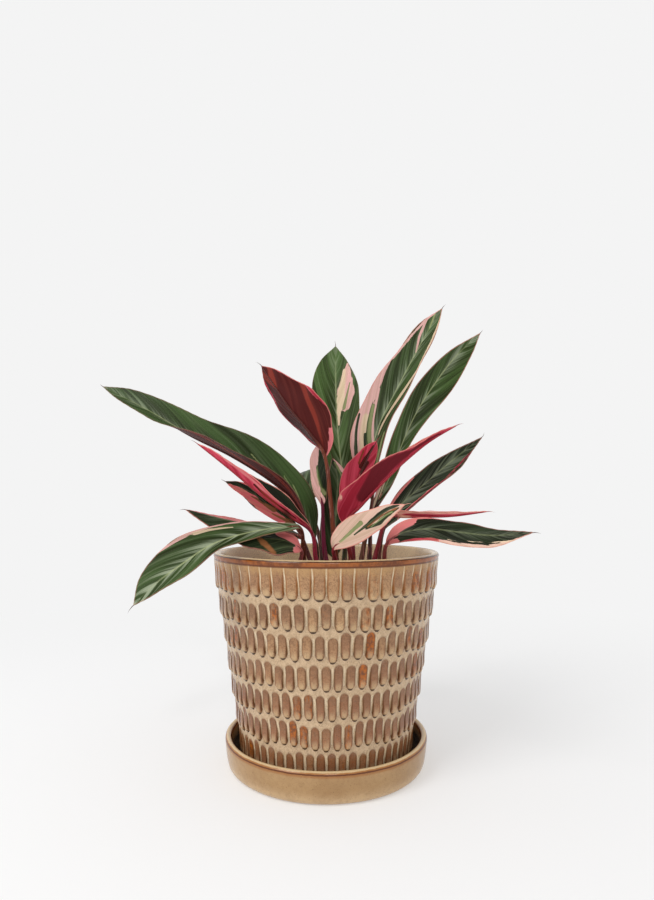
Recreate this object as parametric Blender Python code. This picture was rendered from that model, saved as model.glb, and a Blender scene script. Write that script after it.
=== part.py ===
"""A variegated prayer plant (stromanthe) in a glazed pot of pressed tongues, standing on its saucer.

The origin is the middle of the saucer's flat underside, +Z is up and +Y is the plant's back.
All the sizes below are in millimetres.
"""

import math
import random

import bmesh
import bpy
from mathutils import Vector

MM = 0.001
GAP = 0.3

# Saucer
SAUCER_RADIUS = 76.3
SAUCER_HEIGHT = 22.8
SAUCER_WALL = 4.8
SAUCER_FLOOR = 4.0
SAUCER_SIDES = 40

# Pot
RIM_RADIUS = 85.0
RIM_HEIGHT = 159.0
RIM_WALL = 5.6
RIM_BAND = 3.5
TONGUES = 58
ROWS = 7
ROW_PITCH = 20.0
ROW_ONE_BOTTOM = 133.7
ROW_ONE_RADIUS = 83.6
ROW_STEP = 2.98
TONGUE_COLUMNS = 4
UNDERCUT = 0.9
# From a tongue's crest to the groove and back: how far its end rises, and how far it is set in
TIP_RISE = (0.0, 1.3, 4.4, 1.3)
TIP_INSET = (0.0, 0.3, 1.3, 0.3)
HEAD_INSET = (0.0, 0.1, 0.6, 0.1)
POT_FOOT_RADIUS = 62.0
POT_WALL = 7.2
POT_FLOOR = 4.0
DRAIN_RADIUS = 7.0
FOOT_RECESS = 2.0

# Soil
SOIL_TOP = 137.0
SOIL_BUMP = 1.2
HOLE_BOTTOM = 112.0
STALK_COLLAR = 139.5

# Leaves
BLADE_THICKNESS = 0.7
RIDGE_DEPTH = 0.7
FOOT_RADIUS = 2.2
NECK_RADIUS = 1.3
TIP_HALF_WIDTH = 0.4
BLADE_STEPS = 11
STALK_STEPS = 4
COLUMNS = 4
CURVE_STEPS = 24
STATIONS = (0.0, 0.1, 0.3, 0.5, 0.7, 0.9, 1.0)
LEFT_WAVE_LEAD = 0.37

POT_BASE = SAUCER_FLOOR + GAP


def clear_scene():
    for old in list(bpy.data.objects):
        bpy.data.objects.remove(old, do_unlink=True)


def material(name, colour, roughness):
    made = bpy.data.materials.new(name)
    made.use_nodes = True
    shader = made.node_tree.nodes["Principled BSDF"]
    shader.inputs["Base Color"].default_value = (*colour, 1.0)
    shader.inputs["Roughness"].default_value = roughness
    shader.inputs["Metallic"].default_value = 0.0
    return made


def add_object(name, shape, finish):
    """An object from a bmesh in millimetres, whose faces already point outwards."""
    bmesh.ops.scale(shape, vec=(MM, MM, MM), verts=shape.verts)
    mesh = bpy.data.meshes.new(name)
    shape.to_mesh(mesh)
    shape.free()
    mesh.materials.append(finish)
    mesh.shade_smooth()
    mesh.set_sharp_from_angle(angle=math.radians(50))
    made = bpy.data.objects.new(name, mesh)
    bpy.context.scene.collection.objects.link(made)
    return made


def turned(profile, sides):
    """A solid turned from a profile of (radius, height) points that starts and ends on the axis."""
    shape = bmesh.new()
    corners = [shape.verts.new((radius, 0.0, height)) for radius, height in profile]
    edges = [shape.edges.new(pair) for pair in zip(corners, corners[1:])]
    bmesh.ops.spin(shape, geom=corners + edges, axis=(0, 0, 1), cent=(0, 0, 0),
                   angle=math.tau, steps=sides, use_merge=True)
    bmesh.ops.remove_doubles(shape, verts=shape.verts, dist=0.001)
    bmesh.ops.recalc_face_normals(shape, faces=shape.faces)
    return shape


def make_saucer(finish):
    """A low dish with a nearly upright wall and a round lip, pressed in one piece."""
    lip = SAUCER_RADIUS - SAUCER_WALL / 2
    inside = SAUCER_RADIUS - SAUCER_WALL
    profile = [
        (0.0, 0.0),
        (SAUCER_RADIUS - 6.0, 0.0),
        (SAUCER_RADIUS - 3.2, 1.4),
        (SAUCER_RADIUS - 1.8, 4.6),
        (SAUCER_RADIUS - 0.7, 12.0),
        (SAUCER_RADIUS, SAUCER_HEIGHT - 3.0),
        (SAUCER_RADIUS - 0.7, SAUCER_HEIGHT - 0.9),
        (lip + 0.3, SAUCER_HEIGHT),
        (inside + 0.7, SAUCER_HEIGHT - 0.9),
        (inside, SAUCER_HEIGHT - 3.2),
        (inside - 1.2, 10.0),
        (inside - 3.4, 6.0),
        (inside - 7.0, SAUCER_FLOOR),
        (0.0, SAUCER_FLOOR),
    ]
    return add_object("saucer", turned(profile, SAUCER_SIDES), finish)


def wall_radius(height):
    """The tapered line that the bottoms of the tongue rows follow."""
    return ROW_ONE_RADIUS - (ROW_ONE_BOTTOM - height) * ROW_STEP / ROW_PITCH


def inner_radius(height):
    return wall_radius(height) - POT_WALL


def ring_of(shape, places):
    """One closed ring of evenly spaced points, each at its own (radius, height)."""
    ring = []
    for column, (radius, height) in enumerate(places):
        angle = math.tau * column / len(places)
        ring.append(shape.verts.new((radius * math.cos(angle), radius * math.sin(angle), height)))
    return ring


def skin(shape, lower, upper):
    """Faces between two rings of equal count, or of one count and its half."""
    count = len(lower)
    if len(upper) == count:
        for column in range(count):
            after = (column + 1) % count
            shape.faces.new((lower[column], lower[after], upper[after], upper[column]))
        return
    for column in range(len(upper)):
        after = (column + 1) % len(upper)
        first, middle, last = lower[2 * column], lower[2 * column + 1], lower[(2 * column + 2) % count]
        shape.faces.new((first, middle, upper[column]))
        shape.faces.new((middle, last, upper[after]))
        shape.faces.new((middle, upper[after], upper[column]))


def tongue_rings(shape, draw):
    """The relief: rows of rounded tongues, each row hanging over the next and half a tongue round."""
    columns = TONGUE_COLUMNS * TONGUES
    rings = []
    last_tips = [RIM_HEIGHT - RIM_BAND] * columns
    for row in range(ROWS):
        bottom = ROW_ONE_BOTTOM - ROW_PITCH * row
        radius = ROW_ONE_RADIUS - ROW_STEP * row
        drops = [draw.uniform(-1.3, 1.1) for tongue in range(TONGUES)]
        tops = [tip - UNDERCUT if row else tip for tip in last_tips]
        tips = []
        phases = []
        for column in range(columns):
            turned_column = column + row * TONGUE_COLUMNS // 2
            phase = turned_column % TONGUE_COLUMNS
            tongue = (turned_column + 1) // TONGUE_COLUMNS % TONGUES
            phases.append(phase)
            tips.append(bottom + drops[tongue] * (phase != 2) + TIP_RISE[phase])
        if row == ROWS - 1:
            tips = [bottom - 3.0] * columns
        head = radius + (0.9 if row == 0 else 0.4)
        heads = [(head - HEAD_INSET[phase], top) for phase, top in zip(phases, tops)]
        ends = [(radius - TIP_INSET[phase], tip + 0.8) for phase, tip in zip(phases, tips)]
        rings += [ring_of(shape, heads), ring_of(shape, ends)]
        last_tips = tips
    return rings


def make_pot(finish):
    """The vessel: tongues outside, a round lip, a plain inside, a foot ring and a drain hole."""
    shape = bmesh.new()
    outside = tongue_rings(shape, random.Random(4))
    columns = 2 * TONGUES
    inside = RIM_RADIUS - RIM_WALL
    lip = [
        (inside + 0.3, RIM_HEIGHT - 1.8),
        (RIM_RADIUS - RIM_WALL / 2, RIM_HEIGHT),
        (RIM_RADIUS - 0.8, RIM_HEIGHT - 0.9),
        (RIM_RADIUS, RIM_HEIGHT - RIM_BAND + 0.6),
    ]
    lip_rings = [ring_of(shape, [place] * columns) for place in lip]
    for above, below in zip(lip_rings, lip_rings[1:]):
        skin(shape, above, below)
    skin(shape, outside[0], lip_rings[-1])
    for above, below in zip(outside, outside[1:]):
        skin(shape, above, below)

    foot = [(POT_FOOT_RADIUS, POT_BASE + 2.0), (POT_FOOT_RADIUS - 1.2, POT_BASE)]
    foot_rings = [ring_of(shape, [place] * columns) for place in foot]
    skin(shape, outside[-1], foot_rings[0])
    skin(shape, foot_rings[0], foot_rings[1])

    floor = POT_BASE + FOOT_RECESS + POT_FLOOR
    plain = [(inner_radius(height), height) for height in (140.0, 95.0, 50.0, floor + 5.0)]
    plain += [
        (inner_radius(floor) - 4.0, floor),
        (DRAIN_RADIUS, floor),
        (DRAIN_RADIUS, POT_BASE + FOOT_RECESS),
        (POT_FOOT_RADIUS - 7.5, POT_BASE + FOOT_RECESS),
        (POT_FOOT_RADIUS - 6.0, POT_BASE),
    ]
    plain_rings = [ring_of(shape, [place] * TONGUES) for place in plain]
    skin(shape, lip_rings[0], plain_rings[0])
    for above, below in zip(plain_rings, plain_rings[1:]):
        skin(shape, above, below)
    skin(shape, foot_rings[1], plain_rings[-1])
    bmesh.ops.recalc_face_normals(shape, faces=shape.faces)
    return add_object("pot", shape, finish)


def make_soil(finish, feet):
    """Potting mix that fills the pot, with a plain hole for each stalk."""
    floor = POT_BASE + FOOT_RECESS + POT_FLOOR + GAP
    sides = [(inner_radius(height) - GAP, height) for height in (floor + 5.0, 50.0, 95.0, SOIL_TOP - 1.0)]
    profile = [(0.0, floor), (inner_radius(floor) - 4.0 - GAP, floor)] + sides
    profile += [(radius, SOIL_TOP) for radius in (66.0, 46.0, 24.0, 0.0)]
    shape = turned(profile, TONGUES // 2)
    draw = random.Random(9)
    for point in shape.verts:
        if point.co.z > SOIL_TOP - 0.5:
            point.co.z += draw.uniform(-SOIL_BUMP, SOIL_BUMP)
    soil = add_object("soil", shape, finish)

    holes = bmesh.new()
    hole_sides = 8
    hole_radius = (FOOT_RADIUS + GAP) / math.cos(math.pi / hole_sides)
    top = SOIL_TOP + 6.0
    for x, y in feet:
        made = bmesh.ops.create_cone(holes, cap_ends=True, segments=hole_sides, radius1=hole_radius,
                                     radius2=hole_radius, depth=top - HOLE_BOTTOM + GAP)
        middle = (x, y, (top + HOLE_BOTTOM - GAP) / 2)
        bmesh.ops.translate(holes, vec=middle, verts=made["verts"])
    cutter = add_object("stalk_holes", holes, finish)
    cutter.hide_render = True
    cutter.display_type = "WIRE"
    cut = soil.modifiers.new("stalk_holes", "BOOLEAN")
    cut.operation = "DIFFERENCE"
    cut.object = cutter
    return soil


def smooth_curve(points):
    """A Catmull-Rom curve from the second point to the last, as many short chords."""
    ends = points + [2 * points[-1] - points[-2]]
    curve = []
    for before, start, end, after in zip(ends, ends[1:], ends[2:], ends[3:]):
        for step in range(CURVE_STEPS):
            t = step / CURVE_STEPS
            curve.append(0.5 * (2 * start + (end - before) * t
                                + (2 * before - 5 * start + 4 * end - after) * t ** 2
                                + (3 * start - before - 3 * end + after) * t ** 3))
    curve.append(points[-1])
    return curve


def even_points(curve, steps):
    """Points at equal distances along a curve, its two ends included."""
    lengths = [0.0]
    for start, end in zip(curve, curve[1:]):
        lengths.append(lengths[-1] + (end - start).length)
    chosen = []
    here = 0
    for step in range(steps + 1):
        goal = lengths[-1] * step / steps
        while here < len(curve) - 2 and lengths[here + 1] < goal:
            here += 1
        part = (goal - lengths[here]) / (lengths[here + 1] - lengths[here])
        chosen.append(curve[here].lerp(curve[here + 1], min(1.0, part)))
    return chosen


def eased(values, u):
    """A value that passes through evenly spaced ones with soft turns."""
    if len(values) == 1:
        return values[0]
    place = min(max(u, 0.0), 1.0) * (len(values) - 1)
    first = min(int(place), len(values) - 2)
    part = place - first
    part = part * part * (3 - 2 * part)
    return values[first] * (1 - part) + values[first + 1] * part


def half_width(widths, u):
    """The blade's outline: a smooth curve through its half widths at the stations."""
    marks = (NECK_RADIUS, *widths, TIP_HALF_WIDTH)
    rises = [(b - a) / (t - s) for a, b, s, t in zip(marks, marks[1:], STATIONS, STATIONS[1:])]
    slopes = [rises[0]]
    for before, after in zip(rises, rises[1:]):
        slopes.append((before + after) / 2 * (1.0 if before * after > 0 else 0.3))
    slopes.append(rises[-1])
    first = max(i for i in range(len(STATIONS) - 1) if STATIONS[i] <= u or i == 0)
    span = STATIONS[first + 1] - STATIONS[first]
    t = (u - STATIONS[first]) / span
    return ((2 * t ** 3 - 3 * t ** 2 + 1) * marks[first]
            + (t ** 3 - 2 * t ** 2 + t) * span * slopes[first]
            + (3 * t ** 2 - 2 * t ** 3) * marks[first + 1]
            + (t ** 3 - t ** 2) * span * slopes[first + 1])


def blade_section(centre, up, side, u, leaf):
    """Upper and lower points across the blade at u, from its left margin to its right one."""
    amount, waves, phase = leaf["wave"]
    upper = []
    lower = []
    for column in range(COLUMNS + 1):
        across = 2 * column / COLUMNS - 1
        is_left = across < 0
        width = half_width(leaf["left"] if is_left else leaf["right"], u)
        folds = leaf.get("left_fold", leaf["fold"]) if is_left else leaf["fold"]
        fold = math.radians(eased(folds, u))
        turn = waves * u + phase + (LEFT_WAVE_LEAD if is_left else 0.0)
        wave = amount * math.sin(math.tau * turn) * across ** 2 * math.sin(math.pi * u)
        point = centre + side * (width * across * math.cos(fold))
        point += up * (width * abs(across) * math.sin(fold) + wave)
        if across == 0:
            normal = up / math.cos(fold)
        else:
            normal = up * math.cos(fold) - side * math.copysign(math.sin(fold), across)
        ridge = RIDGE_DEPTH * (1 - u) if across == 0 else 0.0
        upper.append(point + normal * BLADE_THICKNESS / 2)
        lower.append(point - normal * BLADE_THICKNESS / 2 - up * ridge)
    return upper, lower


def stalk_section(centre, up, side, radius):
    """The same count of upper and lower points, set round a circle."""
    half = COLUMNS + 1
    upper = []
    lower = []
    for column in range(half):
        angle = math.pi * (1 - (column + 0.5) / half)
        across = side * (radius * math.cos(angle))
        upper.append(centre + across + up * (radius * math.sin(angle)))
        lower.append(centre + across - up * (radius * math.sin(angle)))
    return upper, lower


def across_path(direction, along):
    return (direction - along * direction.dot(along)).normalized()


def make_leaf(name, leaf, finish):
    """One leaf as it grew: a round stalk that opens into a folded, waved blade with a ridge below."""
    x, y = leaf["foot"]
    bottom = Vector((x, y, HOLE_BOTTOM))
    collar = Vector((x, y, STALK_COLLAR))
    stalk = [Vector(point) for point in leaf["stalk"]]
    rib = [Vector(point) for point in leaf["rib"]]
    curve = smooth_curve([bottom, collar] + stalk + rib)
    neck = CURVE_STEPS * (len(stalk) + 1)
    stalk_points = [bottom] + even_points(curve[:neck + 1], STALK_STEPS)
    blade_points = even_points(curve[neck:], BLADE_STEPS)
    path = stalk_points + blade_points[1:]
    faces_to = [Vector(direction) for direction in leaf["face"]]

    alongs = []
    for index in range(len(path)):
        before = path[max(index - 1, 0)]
        after = path[min(index + 1, len(path) - 1)]
        alongs.append((after - before).normalized())
    alongs[0] = alongs[1] = Vector((0, 0, 1))

    last_stalk = len(stalk_points) - 1
    ups = [None] * len(path)
    for index in range(last_stalk, len(path)):
        u = (index - last_stalk) / BLADE_STEPS
        ups[index] = across_path(eased(faces_to, u), alongs[index])
    for index in range(last_stalk - 1, -1, -1):
        ups[index] = across_path(ups[index + 1], alongs[index])

    shape = bmesh.new()
    rings = []
    for index, centre in enumerate(path):
        up = ups[index]
        side = alongs[index].cross(up)
        if index <= last_stalk:
            part = max(0, index - 1) / (last_stalk - 1)
            radius = FOOT_RADIUS + (NECK_RADIUS - FOOT_RADIUS) * part
            upper, lower = stalk_section(centre, up, side, radius)
        else:
            upper, lower = blade_section(centre, up, side, (index - last_stalk) / BLADE_STEPS, leaf)
        rings.append([[shape.verts.new(point) for point in row] for row in (upper, lower)])

    for (top, under), (next_top, next_under) in zip(rings, rings[1:]):
        for j in range(COLUMNS):
            shape.faces.new((top[j], top[j + 1], next_top[j + 1]))
            shape.faces.new((top[j], next_top[j + 1], next_top[j]))
            shape.faces.new((under[j], next_under[j + 1], under[j + 1]))
            shape.faces.new((under[j], next_under[j], next_under[j + 1]))
        shape.faces.new((top[0], next_top[0], next_under[0], under[0]))
        shape.faces.new((top[-1], under[-1], next_under[-1], next_top[-1]))
    first_top, first_under = rings[0]
    last_top, last_under = rings[-1]
    for j in range(COLUMNS):
        shape.faces.new((first_top[j], first_under[j], first_under[j + 1], first_top[j + 1]))
        shape.faces.new((last_top[j], last_top[j + 1], last_under[j + 1], last_under[j]))
    return add_object(name, shape, finish)


# Each leaf is placed by hand. "foot" is where its stalk stands in the soil, "stalk" the points that
# the stalk passes, "rib" the midrib from the blade's base to its tip, and "face" the way that the
# upper side looks, from base to tip. "left" and "right" are the half widths at a tenth, three, five,
# seven and nine tenths of the blade, seen from above with the tip ahead. "fold" is how far the halves
# are raised, in degrees, from base to tip, with "left_fold" where the left one is raised otherwise, and
# "wave" the margin's rise, its count and its start.
LEAVES = {
    "leaf_long_left": dict(
        foot=(-6, 2), stalk=[(-7, 0, 152)],
        rib=[(-9, -3, 168), (-23, -8, 195), (-42, -10, 212), (-71, -10, 230), (-103, -8, 246),
             (-135, -2, 265), (-174, 8, 286)],
        face=[(0.5, -0.6, 0.6), (0.3, -0.7, 0.6), (0.2, -0.8, 0.5)],
        left=(12, 18, 18, 15, 7), right=(13, 21, 19, 14, 9),
        fold=(35, 38, 20), left_fold=(40, 64, 62, 35, 20), wave=(1.2, 3.0, 0.1)),
    "leaf_pink_left": dict(
        foot=(-4, -13), stalk=[(-8, -14, 155)],
        rib=[(-11, -20, 174), (-26, -34, 186), (-46, -43, 201), (-66, -46, 218), (-89, -43, 236)],
        face=[(0.5, 0.5, 0.7)],
        left=(2.5, 4, 6, 5, 3), right=(6, 12, 11, 5, 2), fold=(80, 88, 75), left_fold=(50, 60, 50),
        wave=(0.8, 2.5, 0.4)),
    "leaf_coral_left": dict(
        foot=(-10, 19), stalk=[(-14, 22, 152)],
        rib=[(-24, 26, 175), (-44, 29, 191), (-62, 31, 204), (-83, 34, 213)],
        face=[(0.3, -0.8, 0.5)],
        left=(6, 11, 12, 9, 4), right=(3, 4, 5, 6, 3.5), fold=(15, 15, 10), wave=(0.8, 2.5, 0.0)),
    "leaf_dark_left": dict(
        foot=(-18, 6), stalk=[(-18, 5, 150)],
        rib=[(-19, 3, 168), (-44, 4, 176), (-77, 8, 182), (-111, 14, 190)],
        face=[(0.1, -0.6, 0.8)],
        left=(7, 12, 14, 11, 5), right=(7, 12, 13, 9, 4), fold=(-20, -30, -28), left_fold=(-10, -20, -10),
        wave=(0.8, 2.5, 0.6)),
    "leaf_drooping_left": dict(
        foot=(-14, -6), stalk=[(-17, -17, 156)],
        rib=[(-18, -30, 176), (-29, -40, 178), (-52, -54, 175), (-74, -66, 168), (-93, -76, 155),
             (-106, -82, 145), (-119, -88, 132)],
        face=[(-0.1, -0.8, 0.6), (-0.2, -0.9, 0.4), (-0.4, -0.9, 0.3)],
        left=(6, 8, 9.5, 12, 7), right=(3.5, 7, 12, 16, 10), fold=(25, 28, 15), wave=(1.0, 3.0, 0.3)),
    "leaf_low_left": dict(
        foot=(-17, -19), stalk=[(-19, -27, 150)],
        rib=[(-18, -36, 162), (-29, -44, 169), (-44, -52, 171), (-62, -58, 170)],
        face=[(0.1, -0.6, 0.8)],
        left=(8, 13, 14, 10, 5), right=(8, 13, 14, 10, 5), fold=(10, -10, -10), wave=(0.7, 2.5, 0.2)),
    "leaf_maroon_upright": dict(
        foot=(8, -18), stalk=[(6, -25, 165), (3, -30, 197)],
        rib=[(-1, -32, 228), (-12, -32, 245), (-27, -28, 264), (-38, -22, 281), (-48, -14, 297)],
        face=[(0.5, 0.8, 0.3)],
        left=(12, 21, 22, 14.5, 6.5), right=(12, 19, 18, 17, 10),
        fold=(50, 46, 36, 30, 20), left_fold=(36, 36, 20), wave=(0.9, 3.0, 0.0)),
    "leaf_centre_back": dict(
        foot=(14, 16), stalk=[(15, 24, 156), (16, 30, 174)],
        rib=[(15, 34, 192), (14, 36, 214), (11, 40, 240), (9, 44, 265), (8, 48, 296), (8, 54, 330)],
        face=[(0, -0.9, 0.3)],
        left=(9, 14, 18, 21, 13), right=(9, 15, 20, 20, 10), fold=(20, 20, 10), wave=(0.8, 2.5, 0.3)),
    "leaf_small_cream": dict(
        foot=(1, 4), stalk=[(-2, 5, 165)],
        rib=[(-3, 5, 194), (-6, 6, 205), (-7, 8, 223), (-4, 10, 243)],
        face=[(0, -0.9, 0.3)],
        left=(3, 5, 5.5, 6.5, 4), right=(5, 8, 9, 8, 4), fold=(20, 20, 10), wave=(0.5, 2.0, 0.5)),
    "leaf_small_dark": dict(
        foot=(6, 12), stalk=[(6, 12, 145)],
        rib=[(6, 12, 152), (7, 12, 174), (8, 13, 194), (9, 15, 214), (5, 17, 231)],
        face=[(0, -0.9, 0.3)],
        left=(10, 12, 11, 10, 5), right=(6, 9, 11, 10, 5), fold=(15, 20, 10), left_fold=(5, 10, 10),
        wave=(0.5, 2.0, 0.1)),
    "leaf_tall_cream_edge": dict(
        foot=(26, 6), stalk=[(29, 8, 160)],
        rib=[(36, 8, 198), (35, 10, 221), (41, 14, 253), (58, 20, 288), (79, 26, 328), (95, 32, 355)],
        face=[(-0.5, -0.8, 0.3)],
        left=(10, 20, 19.5, 15, 9), right=(8, 18, 20, 16.5, 7.5), fold=(35, 35, 15), wave=(1.2, 3.0, 0.2)),
    "leaf_tall_right": dict(
        foot=(34, 18), stalk=[(35, 20, 158)],
        rib=[(37, 20, 186), (50, 24, 214), (63, 28, 247), (74, 32, 270), (88, 36, 292), (108, 42, 318),
             (131, 50, 340)],
        face=[(0.3, -0.9, -0.2)],
        left=(7, 14, 17, 13.5, 4.5), right=(4, 6, 11, 15.5, 8.5), fold=(20, 25, 15), wave=(1.1, 3.0, 0.6)),
    "leaf_magenta": dict(
        foot=(16, -14), stalk=[(18, -20, 155)],
        rib=[(14, -26, 179), (25, -30, 193), (40, -34, 209), (55, -36, 224), (72, -36, 238),
             (92, -34, 250)],
        face=[(-0.6, 0.1, 0.8)],
        left=(16, 17, 12, 6, 3), right=(16, 17, 12, 5, 2.5), fold=(60, 60, 50), wave=(0.7, 2.5, 0.0)),
    "leaf_small_red": dict(
        foot=(20, -6), stalk=[(20, -8, 160)],
        rib=[(18, -9, 190), (20, -9, 205), (28, -9, 223), (38, -7, 242)],
        face=[(-0.2, 0.9, 0.4)],
        left=(7, 11, 12, 9, 5), right=(7, 11, 12, 9, 5), fold=(20, 20, 10), wave=(0.5, 2.0, 0.3)),
    "leaf_dark_right": dict(
        foot=(40, 2), stalk=[(41, 3, 156)],
        rib=[(45, 4, 176), (57, 6, 193), (80, 10, 213), (102, 14, 231), (125, 22, 248)],
        face=[(0.1, -0.9, -0.1)],
        left=(6, 11.5, 12, 7.5, 2.5), right=(6, 8, 8.5, 9, 3.5), fold=(20, 25, 10), wave=(0.9, 2.5, 0.7)),
    "leaf_cream_front": dict(
        foot=(10, -28), stalk=[(8, -42, 150)],
        rib=[(5, -56, 164), (12, -60, 170), (25, -66, 179), (38, -72, 189), (50, -76, 194)],
        face=[(-0.3, -0.8, 0.6)],
        left=(9, 12, 10.5, 6.5, 2.5), right=(6, 11, 13, 12, 5), fold=(20, 20, 10), wave=(0.6, 2.0, 0.1)),
    "leaf_thin_right": dict(
        foot=(34, -14), stalk=[(38, -16, 162)],
        rib=[(45, -20, 184), (61, -24, 186), (89, -28, 186), (115, -30, 189)],
        face=[(0, 0.2, 1)],
        left=(5, 8, 9, 8, 4), right=(5, 5, 4.5, 4, 2), fold=(30, 30, 20), wave=(0.5, 2.0, 0.0)),
    "leaf_low_right": dict(
        foot=(36, -30), stalk=[(40, -40, 152)],
        rib=[(41, -52, 167), (51, -58, 175), (68, -64, 178), (87, -68, 176), (109, -70, 174),
             (133, -72, 176)],
        face=[(-0.1, -0.75, 0.65)],
        left=(8, 11, 10, 8, 3), right=(6, 9, 9.5, 9.5, 3.5), fold=(0, -10, -10), wave=(0.8, 2.5, 0.4)),
    "leaf_rear_right": dict(
        foot=(20, 24), stalk=[(22, 34, 168)],
        rib=[(22, 48, 198), (26, 72, 221), (32, 102, 234), (36, 140, 217)],
        face=[(0, -0.2, 1)],
        left=(10, 17, 18, 15, 8), right=(10, 17, 18, 15, 8), fold=(15, 15, 10), wave=(1.0, 3.0, 0.2)),
    "leaf_rear_left": dict(
        foot=(-2, 24), stalk=[(-6, 34, 168)],
        rib=[(-15, 48, 194), (-21, 68, 214), (-28, 94, 222), (-40, 128, 208)],
        face=[(0, -0.2, 1)],
        left=(10, 16, 17, 14, 8), right=(10, 16, 17, 14, 8), fold=(15, 15, 10), wave=(1.0, 3.0, 0.7)),
}
RED_LEAVES = ("leaf_maroon_upright", "leaf_magenta", "leaf_small_red", "leaf_pink_left", "leaf_thin_right")
PALE_LEAVES = ("leaf_cream_front", "leaf_coral_left", "leaf_small_cream")


def main():
    clear_scene()
    glaze = material("tan_glaze", (0.42, 0.26, 0.14), 0.22)
    potting_mix = material("potting_mix", (0.05, 0.03, 0.02), 0.9)
    green = material("green_leaf", (0.05, 0.14, 0.05), 0.4)
    red = material("maroon_underside", (0.30, 0.02, 0.06), 0.4)
    pale = material("cream_leaf", (0.65, 0.45, 0.38), 0.4)
    make_saucer(glaze)
    make_pot(glaze)
    make_soil(potting_mix, [leaf["foot"] for leaf in LEAVES.values()])
    for name, leaf in LEAVES.items():
        if name in RED_LEAVES:
            finish = red
        elif name in PALE_LEAVES:
            finish = pale
        else:
            finish = green
        make_leaf(name, leaf, finish)


main()
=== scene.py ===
import math
import random

import bpy
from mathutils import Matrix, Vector, noise


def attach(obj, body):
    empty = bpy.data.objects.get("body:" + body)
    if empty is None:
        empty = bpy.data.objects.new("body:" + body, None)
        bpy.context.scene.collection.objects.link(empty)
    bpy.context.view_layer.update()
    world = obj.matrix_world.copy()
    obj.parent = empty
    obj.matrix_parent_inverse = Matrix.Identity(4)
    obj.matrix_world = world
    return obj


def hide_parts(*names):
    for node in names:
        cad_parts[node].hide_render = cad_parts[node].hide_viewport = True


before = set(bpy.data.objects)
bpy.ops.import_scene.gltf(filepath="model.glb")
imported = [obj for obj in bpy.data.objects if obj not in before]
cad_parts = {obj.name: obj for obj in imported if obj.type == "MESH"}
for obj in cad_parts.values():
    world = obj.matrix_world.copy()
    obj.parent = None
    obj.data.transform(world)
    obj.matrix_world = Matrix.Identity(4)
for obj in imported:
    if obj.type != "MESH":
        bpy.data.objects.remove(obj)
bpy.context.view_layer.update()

# The saucer is a low stoneware dish, thrown on a wheel and dipped in the same tan glaze as the pot. Its
# nearly upright wall ends in a round lip, where the glaze runs thin and shows cream over a rusty line.
MM = 0.001
SAUCER_PROFILE = [
    (8.0, 0.0), (40.0, 0.0), (68.0, 0.0), (70.3, 0.1), (72.0, 0.5), (73.1, 1.4), (74.0, 2.8), (74.5, 4.6),
    (75.1, 8.0), (75.6, 12.0), (76.0, 16.5), (76.3, 19.8), (76.1, 21.0), (75.6, 21.9), (74.8, 22.6),
    (74.0, 22.8), (73.1, 22.5), (72.2, 21.9), (71.7, 20.8), (71.5, 19.6), (71.1, 15.0), (70.3, 10.0),
    (69.4, 7.4), (68.1, 6.0), (66.4, 4.6), (64.5, 4.1), (60.0, 4.0), (35.0, 4.0), (8.0, 4.0),
]


class Wire:
    """A value that runs through a finish's nodes, and that adds and multiplies like a plain number."""

    def __init__(self, finish, socket):
        self.finish = finish
        self.socket = socket

    def work(self, operation, *values):
        """A Math node on these values, or on this one where none are given."""
        return self.finish.add("ShaderNodeMath", {"operation": operation}, values or [self])

    def __add__(self, other):
        return self.work("ADD", self, other)

    def __radd__(self, other):
        return self.work("ADD", other, self)

    def __sub__(self, other):
        return self.work("SUBTRACT", self, other)

    def __rsub__(self, other):
        return self.work("SUBTRACT", other, self)

    def __mul__(self, other):
        return self.work("MULTIPLY", self, other)

    def __rmul__(self, other):
        return self.work("MULTIPLY", other, self)

    def __truediv__(self, other):
        return self.work("DIVIDE", self, other)

    def __abs__(self):
        return self.work("ABSOLUTE")

    def ease(self, low, high, start=0.0, end=1.0):
        """The start below low and the end above high, with a soft turn between, or the other way round."""
        values = [self, low, high, start, end]
        return self.finish.add("ShaderNodeMapRange", {"interpolation_type": "SMOOTHSTEP"}, values)

    def blend(self, first, second):
        """The first colour where this value is 0, the second where it is 1."""
        values = {0: self, 6: first, 7: second}
        return self.finish.add("ShaderNodeMix", {"data_type": "RGBA"}, values, out=2)


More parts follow.
